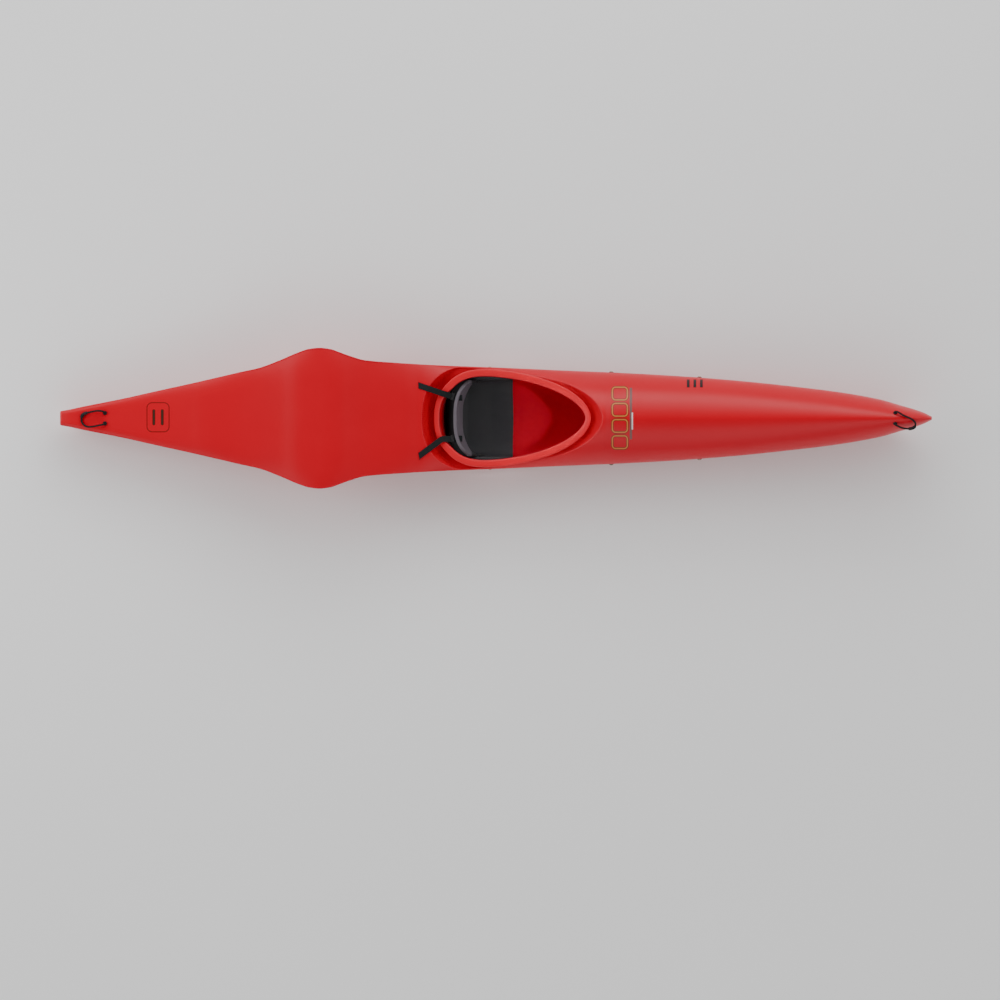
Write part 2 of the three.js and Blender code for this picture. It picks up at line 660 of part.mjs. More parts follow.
const asTarget = (solid) => new THREE.Mesh(geometryFromSolid(solid));
const hullTarget = asTarget(hullBody());
const deckTarget = asTarget(deckBody());
const down = new THREE.Vector3(0, 0, -1);

function surfaceAt(targets, from, direction) {
  const [hit] = new THREE.Raycaster(from, direction).intersectObjects(targets);
  return hit && { point: hit.point, outward: hit.face.normal.clone() };
}

// The hull's outer surface at a height on one side
const hullSurface = (x, height, side) => (
  surfaceAt([hullTarget], new THREE.Vector3(x, side * BEAM, height), new THREE.Vector3(0, -side, 0))
);
const hullWidthAt = (x, height) => hullSurface(x, height, 1).point.y;
const deckSurface = (x, y) => surfaceAt([deckTarget], new THREE.Vector3(x, y, 2 * DEPTH), down);

// A frame whose Y axis points out of the shell
function fixingFrame(point, outward) {
  const along = new THREE.Vector3(1, 0, 0);
  const x = along.addScaledVector(outward, -along.dot(outward)).normalize();
  return frameAt(point, x, outward);
}

const SIDES = [["left", 1], ["right", -1]];

// Screws, washers and nuts. Y is along the screw, zero on the hull's outer face

const HEAD_SEAT = CURVE_GAP + WASHER_THICKNESS + FIT_GAP;

function screwSolid(grip) {
  const tip = -(grip + FIT_GAP + NUT_HEIGHT + SCREW_TIP);
  return turned([
    [0, tip],
    [SCREW_RADIUS - 0.2 * SCREW_RADIUS, tip],
    [SCREW_RADIUS, tip + 0.2 * SCREW_RADIUS],
    [SCREW_RADIUS, HEAD_SEAT],
    [SCREW_HEAD_RADIUS, HEAD_SEAT],
    [SCREW_HEAD_RADIUS, HEAD_SEAT + 0.3 * SCREW_HEAD_HEIGHT],
    [0.75 * SCREW_HEAD_RADIUS, HEAD_SEAT + 0.8 * SCREW_HEAD_HEIGHT],
    [0.35 * SCREW_HEAD_RADIUS, HEAD_SEAT + SCREW_HEAD_HEIGHT],
    [0, HEAD_SEAT + SCREW_HEAD_HEIGHT],
  ]);
}

function ringSolid(inner, outer, from, to, sides = ROUND_SIDES) {
  return turned([[inner, from], [outer, from], [outer, to], [inner, to], [inner, from]], sides);
}

const washerSolid = () => (
  ringSolid(SCREW_RADIUS + FIT_GAP, WASHER_RADIUS, CURVE_GAP, CURVE_GAP + WASHER_THICKNESS)
);

function nutSolid(grip) {
  const top = -(grip + FIT_GAP);
  const hole = rod(SCREW_RADIUS + FIT_GAP, top - NUT_HEIGHT - OVERRUN, top + OVERRUN);
  return rod(NUT_RADIUS, top - NUT_HEIGHT, top, NUT_SIDES).subtract(hole);
}

const screwHole = (frame) => placed(rod(SCREW_RADIUS + FIT_GAP, -3 * OVERRUN, OVERRUN, HOLE_SIDES), frame);

function fastenerPieces(name, side, frame, grip) {
  return [
    piece(`${name}_screw_${side}`, screwSolid(grip), SCREW_STEEL, frame),
    piece(`${name}_washer_${side}`, washerSolid(), WASHER_RUBBER, frame),
    piece(`${name}_nut_${side}`, nutSolid(grip), SCREW_STEEL, frame),
  ];
}

const seatCheekHeight = SEAT_CHEEK_HEIGHT_SHARE * DEPTH;
const seatHalfWidth = (SEAT_WIDTH_SHARE * BEAM) / 2;
const seatScrewX = COCKPIT_WIDEST + SEAT_SCREW_PLACE;

function seatScrewFrame(side) {
  const { point, outward } = hullSurface(seatScrewX, seatCheekHeight - SEAT_SCREW_DROP, side);
  return fixingFrame(point, outward);
}

// Rail screws: both point square to the rail, which runs from one to the other

const railRearX = COCKPIT_FRONT_END + RAIL_REAR_REACH;
const railFrontX = railRearX + RAIL_SCREW_SPACING;

function railFrames(side) {
  const rear = hullSurface(railRearX, creaseHeight(railRearX) - RAIL_REAR_DROP, side);
  const front = hullSurface(railFrontX, creaseHeight(railFrontX) - RAIL_FRONT_DROP, side);
  const along = front.point.clone().sub(rear.point).normalize();
  const outward = rear.outward.clone().add(front.outward);
  outward.addScaledVector(along, -along.dot(outward)).normalize();
  const middle = rear.point.clone().add(front.point).multiplyScalar(0.5);
  return {
    rear: frameAt(rear.point, along, outward),
    front: frameAt(front.point, along, outward),
    middle: frameAt(middle, along, outward),
    spacing: rear.point.distanceTo(front.point),
  };
}

const RAIL_BACK = WALL + CURVE_GAP + RAIL_STANDOFF;
const RAIL_FACE = RAIL_BACK + RAIL_THICKNESS;
const SEAT_GRIP = WALL + FIT_GAP + SEAT_WALL + SEAT_FLANGE_BULGE;

// Shells

const wallScrewFrames = SIDES.flatMap(([, side]) => {
  const { rear, front } = railFrames(side);
  return [seatScrewFrame(side), rear, front];
});

function hullShell() {
  const shell = hullBody().subtract(hullHollow(WALL, OVERRUN));
  return wallScrewFrames.reduce((solid, frame) => solid.subtract(screwHole(frame)), shell);
}

const sternLoopX = atPlace(0) + STERN_LOOP_SETBACK;
const bowLoopX = atPlace(1) - BOW_LOOP_SETBACK;

const anchorFrame = (x, side) => {
  const { point, outward } = deckSurface(x, (side * ANCHOR_SPREAD) / 2);
  return fixingFrame(point, outward);
};

function deckShell() {
  const body = deckBody();
  const shell = body.subtract(deckHollow(WALL));
  const roomForTrough = body.add(hullHollow(WALL + FIT_GAP, FIT_GAP));
  const opening = skin([
    outlineRing(() => COAMING_WALL + FIT_GAP, -COAMING_HEIGHT - OVERRUN),
    outlineRing(() => COAMING_WALL + FIT_GAP, TROUGH_REACH),
  ]);
  const troughed = shell.add(troughSolid(WALL).intersect(roomForTrough)).subtract(troughSolid(0));
  const ropeHoles = SIDES.flatMap(([, side]) => [sternLoopX, bowLoopX].map((x) => (
    placed(rod(ROPE_RADIUS + EYELET_BORE_GAP, -OVERRUN, OVERRUN), anchorFrame(x, side))
  )));
  return ropeHoles.reduce((solid, hole) => solid.subtract(hole), troughed.subtract(opening));
}

// The deck's lengths from stern to bow
function deckLengths(deck) {
  let ahead = deck;
  const behind = DECK_JOINT_SHARES.map((share) => {
    const [front, rear] = ahead.splitByPlane([1, 0, 0], atPlace(share));
    ahead = front;
    return rear;
  });
  return [...behind, ahead];
}

function coaming() {
  const section = [
    [0, -COAMING_HEIGHT - COAMING_TAIL],
    [COAMING_WALL, -COAMING_HEIGHT - COAMING_TAIL],
    [COAMING_WALL, -2 * LIP_THICKNESS],
    [2 * COAMING_WALL, -LIP_THICKNESS],
    [LIP_WIDTH - COAMING_WALL, -LIP_THICKNESS],
    [LIP_WIDTH - COAMING_WALL, -LIP_THICKNESS - LIP_TURN_DOWN],
    [LIP_WIDTH, -LIP_THICKNESS - LIP_TURN_DOWN],
    [LIP_WIDTH, -COAMING_EDGE],
    [LIP_WIDTH - COAMING_EDGE, 0],
    [COAMING_EDGE, 0],
    [0, -COAMING_EDGE],
  ];
  const rings = section.map(([distance, height]) => outlineRing(() => distance, height));
  return skin(rings, "joined");
}

// Seat pan: one moulding with folded cheeks that reach the hull's sides

const seatPanShare = curveThrough(SEAT_PAN_SHARES);
const seatCheekShare = curveThrough(SEAT_CHEEK_SHARES);
const seatRearX = COCKPIT_WIDEST - SEAT_REAR_REACH;
const seatFrontX = COCKPIT_WIDEST + SEAT_FRONT_REACH;

function seatSection(place) {
  const x = mix(seatRearX, seatFrontX, place);
  const pan = seatPanShare(place) * seatCheekHeight;
  const cheek = seatCheekShare(place) * seatCheekHeight;
  const front = clamp(2 * place - 1, 0, 1) ** 2;
  const upper = SEAT_CURVE_SHARES.map(([across, climb]) => {
    const y = across * seatHalfWidth;
    const shaped = SEAT_POMMEL_HEIGHT * swell(y, SEAT_POMMEL_WIDTH)
      - SEAT_HOLLOW_DEPTH * swell(y - SEAT_HOLLOW_PLACE, SEAT_HOLLOW_WIDTH);
    return [y, mix(pan, cheek, climb) + front * shaped];
  });
  const lower = upper.map(([y, z], i) => {
    const before = upper[Math.max(i - 1, 0)];
    const after = upper[Math.min(i + 1, upper.length - 1)];
    const level = i === 0 ? [1, 0] : [after[0] - before[0], after[1] - before[1]];
    const length = Math.hypot(...level);
    return [y + (SEAT_WALL * level[1]) / length, z - (SEAT_WALL * level[0]) / length];
  });
  const foot = cheek - SEAT_FLANGE_HEIGHT;
  const lining = WALL + FIT_GAP + SEAT_WALL;
  const footInside = hullWidthAt(x, foot) - lining;
  const topInside = Math.max(hullWidthAt(x, cheek) - lining, footInside);
  const outside = topInside + lining + OVERRUN;
  const half = [
    ...upper,
    [seatHalfWidth, cheek],
    [outside, cheek],
    [outside, foot],
    [footInside, foot],
    [topInside, cheek - SEAT_WALL],
    [seatHalfWidth + SEAT_WALL, cheek - SEAT_WALL],
    ...lower.reverse(),
  ];
  return { x, half };
}

function seatPan() {
  const halves = SIDES.map(([, side]) => {
    const rings = [];
    for (let i = 0; i <= SEAT_STEPS; i += 1) {
      const { x, half } = seatSection(i / SEAT_STEPS);
      rings.push(half.map(([y, z]) => [x, side * y, z]));
    }
    return skin(rings, "flat");
  });
  let solid = halves[0].add(halves[1]).intersect(hullHollow(WALL + FIT_GAP, 0));
  for (const [, side] of SIDES) {
    solid = solid.subtract(screwHole(seatScrewFrame(side)));
    const pivotHole = rod(SCREW_RADIUS + FIT_GAP, -OVERRUN, OVERRUN, HOLE_SIDES);
    solid = solid.subtract(placed(pivotHole, pivotFrame(side)));
  }
  return solid;
}

// Back band

const bandHalfWidth = seatHalfWidth - BAND_SEAT_GAP - BAND_TAB_THICKNESS / 2;
const bandMiddleHeight = seatCheekHeight - BAND_MIDDLE_DROP;
const bandPivotHeight = seatCheekHeight - BAND_PIVOT_DROP;
const bandBackX = COCKPIT_WIDEST + BAND_BACK_PLACE;
const bandCentreX = bandBackX + BAND_RADIUS;
const bandArcEnd = Math.asin((bandHalfWidth - BAND_BEND / 2) / BAND_RADIUS);
const bandTabX = bandCentreX - BAND_RADIUS * Math.cos(bandArcEnd) + BAND_BEND;
const pivotX = bandTabX + BAND_TAB_LENGTH / 3;
const tabOutside = bandHalfWidth + BAND_TAB_THICKNESS / 2;

// The band's middle line from port to starboard: [x, y, how much it is band rather than tab]
function bandLine() {
  const half = [];
  for (let i = 0; i <= BAND_STEPS; i += 1) {
    const angle = (bandArcEnd * i) / BAND_STEPS;
    const body = 1 - 0.5 * (i / BAND_STEPS) ** 4;
    half.push([bandCentreX - BAND_RADIUS * Math.cos(angle), BAND_RADIUS * Math.sin(angle), body]);
  }
  half.push([bandTabX - 0.3 * BAND_BEND, bandHalfWidth - 0.1 * BAND_BEND, 0.2]);
  half.push([bandTabX, bandHalfWidth, 0]);
  half.push([bandTabX + BAND_TAB_LENGTH, bandHalfWidth, 0]);
  const port = half.slice(1).reverse();
  return [...port, ...half.map(([x, y, body]) => [x, -y, body])];
}

function bandSection(line, i) {
  const [x, y, body] = line[i];
  const before = line[Math.max(i - 1, 0)];
  const after = line[Math.min(i + 1, line.length - 1)];
  const run = Math.hypot(after[0] - before[0], after[1] - before[1]);
  const outX = (after[1] - before[1]) / run;
  const outY = (before[0] - after[0]) / run;
  const halfHeight = mix(BAND_TAB_HEIGHT, BAND_HEIGHT, body) / 2;
  const middle = mix(bandPivotHeight, bandMiddleHeight, body);
  const halfThickness = mix(BAND_TAB_THICKNESS, BAND_THICKNESS, body) / 2;
  const corner = halfThickness / 2;
  const shape = [
    [halfThickness, -halfHeight + corner], [halfThickness, halfHeight - corner],
    [corner, halfHeight], [-corner, halfHeight],
    [-halfThickness, halfHeight - corner], [-halfThickness, -halfHeight + corner],
    [-corner, -halfHeight], [corner, -halfHeight],
  ];
  return shape.map(([out, up]) => {
    const away = out + body * BAND_LEAN_SHARE * up;
    return [x + outX * away, y + outY * away, middle + up];
  });
}

// A frame on the band's pivot whose Y axis points outboard
const pivotFrame = (side) => frameAt(
  new THREE.Vector3(pivotX, side * tabOutside, bandPivotHeight),
  new THREE.Vector3(1, 0, 0),
  new THREE.Vector3(0, side, 0),
);

const slotHeight = bandMiddleHeight + BAND_HEIGHT / 2 - STRAP_SLOT_DROP;

// Where the straps cross the rim's inner edge, and where their tails end
const strapRimX = OUTLINE.filter((place) => place.outX < 0 && place.y > 0).reduce((best, place) => (
  Math.abs(place.y - STRAP_RIM_PLACE) < Math.abs(best.y - STRAP_RIM_PLACE) ? place : best
)).x;
const STRAP_END = strapRimX - STRAP_TAIL_LENGTH;

// Where the band's middle lies at the straps, at the height of their slots
const bandAtStrapX = bandCentreX - Math.sqrt(BAND_RADIUS ** 2 - STRAP_PLACE ** 2)
  - BAND_LEAN_SHARE * (slotHeight - bandMiddleHeight);

function backBand() {
  const line = bandLine();
  let solid = skin(line.map((_, i) => bandSection(line, i)));
  for (const [, side] of SIDES) {
    const slotWidth = STRAP_WIDTH + 2 * STRAP_SLOT_MARGIN;
    const slotPlace = moved(bandAtStrapX, side * STRAP_PLACE, slotHeight);
    const slot = block(3 * OVERRUN, slotWidth, STRAP_SLOT_HEIGHT, slotPlace);
    solid = solid.subtract(slot);
    const hole = rod(SCREW_RADIUS + PIVOT_CLEARANCE, -OVERRUN, OVERRUN);
    solid = solid.subtract(placed(hole, pivotFrame(side)));
  }
  return solid;
}

function pivotScrewSolid() {
  const head = -BAND_TAB_THICKNESS - FIT_GAP;
  const tip = seatHalfWidth + SEAT_WALL - tabOutside + FIT_GAP + NUT_HEIGHT + SCREW_TIP;
  return turned([
    [0, head - PIVOT_HEAD_HEIGHT],
    [0.7 * PIVOT_HEAD_RADIUS, head - PIVOT_HEAD_HEIGHT],
    [PIVOT_HEAD_RADIUS, head - 0.4 * PIVOT_HEAD_HEIGHT],
    [PIVOT_HEAD_RADIUS, head],
    [SCREW_RADIUS, head],
    [SCREW_RADIUS, tip],
    [0, tip],
  ]);
}

function pivotNutSolid() {
  const face = seatHalfWidth + SEAT_WALL - tabOutside + FIT_GAP;
  const hole = rod(SCREW_RADIUS + FIT_GAP, face - OVERRUN, face + OVERRUN);
  return rod(NUT_RADIUS, face, face + NUT_HEIGHT, NUT_SIDES).subtract(hole);
}

// Straps: from the band's slot over the rim and the trough onto the rear deck

const shellHeightAt = (targets, x, y) => {
  const hit = surfaceAt(targets, new THREE.Vector3(x, y, 2 * DEPTH), down);
  return hit ? hit.point.z : 0;
};

const strapPlaceAt = (x) => (
  mix(STRAP_PLACE, STRAP_RIM_PLACE, (bandAtStrapX - x) / (bandAtStrapX - strapRimX))
);
const strapAcross = (x) => (
  x > strapRimX ? strapPlaceAt(x) : STRAP_RIM_PLACE + (strapRimX - x) * STRAP_OUTWARD_SHARE
);

// Corners of the strap's section at a place, between the heights of its inner and outer edges
function strapRing(side, x, y, lowInner, lowOuter, pitch) {
  const half = STRAP_WIDTH / 2;
  const lean = STRAP_THICKNESS * Math.sin(pitch);
  const rise = STRAP_THICKNESS * Math.cos(pitch);
  return [
    [x, side * (y - half), lowInner],
    [x, side * (y + half), lowOuter],
    [x + lean, side * (y + half), lowOuter + rise],
    [x + lean, side * (y - half), lowInner + rise],
  ];
}

// Heights of the strap's underside along both edges, from the slot to the tail's end
function strapEdges(side, targets) {
  const slotX = bandAtStrapX - BAND_THICKNESS;
  const count = Math.round((slotX - STRAP_END) / STRAP_STEP);
  const places = Array.from({ length: count + 1 }, (_, i) => mix(slotX, STRAP_END, i / count));
  const walked = places.map((x) => slotX - x);
  const lines = STRAP_LINE_SHARES.map((share) => tautHeights(walked, places.map((x, i) => {
    const y = strapAcross(x) + (share - 0.5) * STRAP_WIDTH;
    return i === 0 ? slotHeight - STRAP_THICKNESS / 2 : shellHeightAt(targets, x, side * y) + STRAP_LIFT;
  })));
  const [low, high] = [lines[0], lines.at(-1)];
  const bulge = places.map((_, i) => Math.max(...lines.map((line, j) => (
    line[i] - mix(low[i], high[i], STRAP_LINE_SHARES[j])
  ))));
  return { places, inner: low.map((z, i) => z + bulge[i]), outer: high.map((z, i) => z + bulge[i]) };
}

function strapSolid(side, { places, inner, outer }) {
  const tabX = bandAtStrapX + BAND_THICKNESS + STRAP_TAB_STANDOFF;
  const level = slotHeight - STRAP_THICKNESS / 2;
  const bends = (heights, i) => Math.abs(heights[i - 1] - 2 * heights[i] + heights[i + 1]) > STRAP_FLATNESS;
  const kept = places.map((_, i) => i).filter((i) => (
    i === 0 || i === places.length - 1 || bends(inner, i) || bends(outer, i)
  ));
  const rings = [
    strapRing(side, tabX, STRAP_PLACE, slotHeight - STRAP_TAB, slotHeight - STRAP_TAB, Math.PI / 2),
    strapRing(side, tabX, STRAP_PLACE, level - STRAP_THICKNESS, level - STRAP_THICKNESS, Math.PI / 2),
    strapRing(side, tabX - STRAP_TAB_STANDOFF / 2, STRAP_PLACE, level, level, 0),
    ...kept.map((i) => strapRing(side, places[i], strapAcross(places[i]), inner[i], outer[i], 0)),
  ];
  return skin(rings);
}

// A flat ring round the strap, between band and rim
function buckleFrame(side, { places, inner, outer }) {
  const i = places.findIndex((x) => x < mix(places[0], strapRimX, BUCKLE_PLACE_SHARE));
  const middleAt = (j) => new THREE.Vector3(
    places[j],
    side * strapAcross(places[j]),
    (inner[j] + outer[j] + STRAP_THICKNESS) / 2,
  );
  const ahead = middleAt(i + 1).sub(middleAt(i - 1));
  const roll = new THREE.Vector3(0, STRAP_WIDTH, side * (outer[i] - inner[i]));
  return frameAt(middleAt(i), ahead, roll);
}

function buckleSolid() {
  const outside = block(BUCKLE_LENGTH, BUCKLE_WIDTH, BUCKLE_THICKNESS);
  const inside = block(
    BUCKLE_LENGTH + OVERRUN,
    STRAP_WIDTH + 2 * BUCKLE_GAP,
    STRAP_THICKNESS + 2 * BUCKLE_GAP,
  );
  return outside.subtract(inside);
}

// Foot braces. X runs along the rail to the bow, Y points outboard, zero on the hull's outer face

function railSolid(spacing) {
  const length = spacing + 2 * RAIL_END;
  const middle = -(RAIL_BACK + RAIL_THICKNESS / 2);
  let solid = block(length, RAIL_THICKNESS, RAIL_HEIGHT, moved(0, middle, 0));
  for (const end of [-1, 1]) {
    const at = moved((end * spacing) / 2, 0, 0);
    const boss = rod(RAIL_BOSS_RADIUS, -RAIL_BACK - RAIL_THICKNESS / 2, -WALL - CURVE_GAP);
    solid = solid.add(placed(boss, at));
    solid = solid.subtract(placed(rod(SCREW_RADIUS + FIT_GAP, -3 * OVERRUN, OVERRUN, HOLE_SIDES), at));
  }
  for (let i = 0; i < RAIL_NOTCH_COUNT; i += 1) {
    const along = (i - (RAIL_NOTCH_COUNT - 1) / 2) * RAIL_NOTCH_PITCH;
    const notch = rod(RAIL_NOTCH_RADIUS, -3 * OVERRUN, OVERRUN, NOTCH_SIDES);
    solid = solid.subtract(placed(notch, moved(along, 0, 0)));
  }
  return solid;
}

function sliderSolid() {
  const inside = RAIL_HEIGHT / 2 + SLIDER_CLEARANCE;
  const outside = inside + SLIDER_WALL;
  const back = -(RAIL_BACK - SLIDER_CLEARANCE);
  const front = -(RAIL_FACE + SLIDER_CLEARANCE);
  const hookEnd = RAIL_HEIGHT / 2 - SLIDER_HOOK_REACH;
  const shape = new THREE.Shape([
    new THREE.Vector2(front - SLIDER_FACE, -outside),
    new THREE.Vector2(back + SLIDER_HOOK, -outside),
    new THREE.Vector2(back + SLIDER_HOOK, -hookEnd),
    new THREE.Vector2(back, -hookEnd),
    new THREE.Vector2(back, -inside),
    new THREE.Vector2(front, -inside),
    new THREE.Vector2(front, inside),
    new THREE.Vector2(back, inside),
    new THREE.Vector2(back, hookEnd),
    new THREE.Vector2(back + SLIDER_HOOK, hookEnd),
    new THREE.Vector2(back + SLIDER_HOOK, outside),
    new THREE.Vector2(front - SLIDER_FACE, outside),
  ]);
  const profile = new THREE.ExtrudeGeometry(shape, { depth: SLIDER_LENGTH, bevelEnabled: false });
  const along = new THREE.Matrix4().makeBasis(
    new THREE.Vector3(0, 1, 0),
    new THREE.Vector3(0, 0, 1),
    new THREE.Vector3(1, 0, 0),
  ).setPosition(-SLIDER_LENGTH / 2, 0, 0);
  return solidFromGeometry(profile, along).subtract(rod(PEDAL_PIN_RADIUS + FIT_GAP, -3 * OVERRUN, 0));
}

const SLIDER_FRONT = RAIL_FACE + SLIDER_CLEARANCE + SLIDER_FACE;
const PEDAL_NEAR = SLIDER_FRONT + FIT_GAP;
const PEDAL_FAR = PEDAL_NEAR + PEDAL_WIDTH;

function pedalSolid(side) {
  const back = -PEDAL_SETBACK;
  const face = back - PEDAL_THICKNESS;
  const outline = [[back, -PEDAL_HEIGHT / 2], [back, PEDAL_HEIGHT / 2]];
  const pitch = PEDAL_HEIGHT / PEDAL_RIB_COUNT;
  for (let i = 0; i < PEDAL_RIB_COUNT; i += 1) {
    const top = PEDAL_HEIGHT / 2 - i * pitch;
    outline.push([face, top], [face - PEDAL_RIB_DEPTH, top - 0.25 * pitch]);
    outline.push([face - PEDAL_RIB_DEPTH, top - 0.5 * pitch], [face, top - 0.75 * pitch]);
  }
  outline.push([face, -PEDAL_HEIGHT / 2]);
  const shape = new THREE.Shape(outline.map(([along, up]) => new THREE.Vector2(along, up)));
  const profile = new THREE.ExtrudeGeometry(shape, { depth: PEDAL_WIDTH, bevelEnabled: false });
  const across = new THREE.Matrix4().makeBasis(
    new THREE.Vector3(1, 0, 0),
    new THREE.Vector3(0, 0, 1),
    new THREE.Vector3(0, -1, 0),
  ).setPosition(0, -PEDAL_NEAR, 0);
  const pad = solidFromGeometry(profile, across);
  const knuckle = rod(PEDAL_KNUCKLE_RADIUS, -PEDAL_FAR, -PEDAL_NEAR);
  const web = block(
    PEDAL_SETBACK + WALL,
    PEDAL_WIDTH,
    1.2 * PEDAL_KNUCKLE_RADIUS,
    moved(-(PEDAL_SETBACK + WALL) / 2, -(PEDAL_NEAR + PEDAL_FAR) / 2, 0),
  );
  const bore = rod(PEDAL_PIN_RADIUS + PIVOT_CLEARANCE, -PEDAL_FAR - OVERRUN, 0);
  const eighthTurn = new THREE.Matrix4().makeRotationX(Math.PI / 4);
  const corner = moved(back, -PEDAL_NEAR, (side * PEDAL_HEIGHT) / 2).multiply(eighthTurn);
  const cut = block(3 * OVERRUN, Math.SQRT2 * PEDAL_CORNER_CUT, Math.SQRT2 * PEDAL_CORNER_CUT, corner);
  return pad.add(knuckle).add(web).subtract(bore).subtract(cut);
}

function pedalPinSolid() {
  const near = -(RAIL_FACE + SLIDER_CLEARANCE + FIT_GAP);
  const cap = -(PEDAL_FAR + FIT_GAP);
  return turned([
    [0, cap - PEDAL_PIN_END],
    [PEDAL_PIN_CAP_RADIUS, cap - PEDAL_PIN_END],
    [PEDAL_PIN_CAP_RADIUS, cap],
    [PEDAL_PIN_RADIUS, cap],
    [PEDAL_PIN_RADIUS, near],
    [0, near],
  ]);
}

// Foam pillars

function pillar(fromX, toX) {
  const middle = moved((fromX + toX) / 2, 0, DEPTH / 2);
  return block(toX - fromX, PILLAR_WIDTH, DEPTH, middle).intersect(insideSpace(FIT_GAP));
}

// Grab loops. Their ropes pass through an eyelet and the deck and end in knots inside

const eyeletTop = FIT_GAP + EYELET_HEIGHT;
const ropeTurn = eyeletTop + FIT_GAP + ROPE_RADIUS;

const eyeletSolid = () => ringSolid(ROPE_RADIUS + EYELET_BORE_GAP, EYELET_RADIUS, FIT_GAP, eyeletTop);

function knotSolid() {
  const top = -WALL - FIT_GAP;
  const profile = [[0, top - 2 * KNOT_RADIUS]];
  for (let i = 1; i < KNOT_STEPS; i += 1) {
    const angle = (Math.PI * i) / (KNOT_STEPS + 1);
    profile.push([KNOT_RADIUS * Math.sin(angle), top - KNOT_RADIUS - KNOT_RADIUS * Math.cos(angle)]);
  }
  profile.push([ROPE_RADIUS, top], [ROPE_RADIUS, eyeletTop], [0, eyeletTop]);
  return turned(profile, HOLE_SIDES);
}

const ropeEnd = (x, side) => {
  const { point, outward } = deckSurface(x, (side * ANCHOR_SPREAD) / 2);
  return point.clone().addScaledVector(outward, ropeTurn);
};

function loopRope(x, reachSign, route) {
  const ends = SIDES.map(([, side]) => ropeEnd(x, side));
  const between = route.map(([reach, across, height]) => {
    const at = x + reachSign * reach;
    return new THREE.Vector3(at, across, crownHeight(x) + height);
  });
  const curve = new THREE.CatmullRomCurve3([ends[0], ...between, ends[1]]);
  const steps = Math.ceil(curve.getLength() / (5 * ROPE_RADIUS));
  const circle = new THREE.Shape();
  circle.absarc(0, 0, ROPE_RADIUS, 0, 2 * Math.PI);
  const settings = { steps, extrudePath: curve, curveSegments: ROPE_SIDES / 2 };
  return solidFromGeometry(new THREE.ExtrudeGeometry(circle, settings));
}

// The boat

const kayak = new THREE.Group();

const deckSolid = deckShell();
const coamingSolid = coaming();
const topTargets = [asTarget(deckSolid), asTarget(coamingSolid)];
const frontPillar = pillar(COCKPIT_FRONT_END + FRONT_PILLAR_REACH, atPlace(FRONT_PILLAR_END_SHARE));
const rearPillar = pillar(atPlace(REAR_PILLAR_END_SHARE), COCKPIT_REAR_END - REAR_PILLAR_REACH);

const shells = new THREE.Group();
shells.add(
  piece("hull_shell", hullShell(), SHELL_RED),
  ...deckLengths(deckSolid).map((length, i) => piece(`deck_${DECK_LENGTH_NAMES[i]}`, length, SHELL_RED)),
  piece("cockpit_coaming", coamingSolid, SHELL_RED),
  piece("front_foam_pillar", frontPillar, FOAM_GREY),
  piece("rear_foam_pillar", rearPillar, FOAM_GREY),
);
kayak.add(shells);

const seating = new THREE.Group();
seating.add(piece("seat_pan", seatPan(), SEAT_BLACK));
seating.add(piece("backrest_band", backBand(), BAND_GREY));
for (const [name, side] of SIDES) {
  seating.add(...fastenerPieces("seat", name, seatScrewFrame(side), SEAT_GRIP));
  seating.add(piece(`backrest_pivot_screw_${name}`, pivotScrewSolid(), SCREW_STEEL, pivotFrame(side)));
  seating.add(piece(`backrest_pivot_nut_${name}`, pivotNutSolid(), SCREW_STEEL, pivotFrame(side)));
  const edges = strapEdges(side, topTargets);
  seating.add(piece(`backrest_strap_${name}`, strapSolid(side, edges), WEBBING_BLACK));
  seating.add(piece(`strap_buckle_${name}`, buckleSolid(), BUCKLE_BLACK, buckleFrame(side, edges)));
}
kayak.add(seating);

for (const [name, side] of SIDES) {
  const { rear, front, middle, spacing } = railFrames(side);
  const brace = new THREE.Group();
  middle.decompose(brace.position, brace.quaternion, brace.scale);
  brace.add(
    piece(`foot_rail_${name}`, railSolid(spacing), RAIL_ALUMINIUM),
    piece(`foot_slider_${name}`, sliderSolid(), SEAT_BLACK),
    piece(`foot_pedal_${name}`, pedalSolid(side), SEAT_BLACK),
    piece(`foot_pedal_pin_${name}`, pedalPinSolid(), SCREW_STEEL),
  );
  kayak.add(brace);
  kayak.add(...fastenerPieces("rail_rear", name, rear, RAIL_FACE));
  kayak.add(...fastenerPieces("rail_front", name, front, RAIL_FACE));
}

const grabLoops = [["stern", sternLoopX, -1, STERN_LOOP_ROUTE], ["bow", bowLoopX, 1, BOW_LOOP_ROUTE]];
for (const [end, x, reachSign, route] of grabLoops) {
  kayak.add(piece(`${end}_grab_loop`, loopRope(x, reachSign, route), ROPE_BLACK));
  for (const [name, side] of SIDES) {
    kayak.add(piece(`${end}_loop_eyelet_${name}`, eyeletSolid(), BUCKLE_BLACK, anchorFrame(x, side)));
    kayak.add(piece(`${end}_loop_knot_${name}`, knotSolid(), ROPE_BLACK, anchorFrame(x, side)));
  }
}

export default kayak;
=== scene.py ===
"""A whitewater racing kayak: a red shell with raised side wings, black seat, straps and grab loops.

Lengths are in metres. +X points to the bow, +Y to port and +Z up. The origin lies under the middle
of the boat, at the height of the flat of the keel.
"""

import math

import bmesh
import bpy
import numpy as np
from mathutils import Matrix, Vector


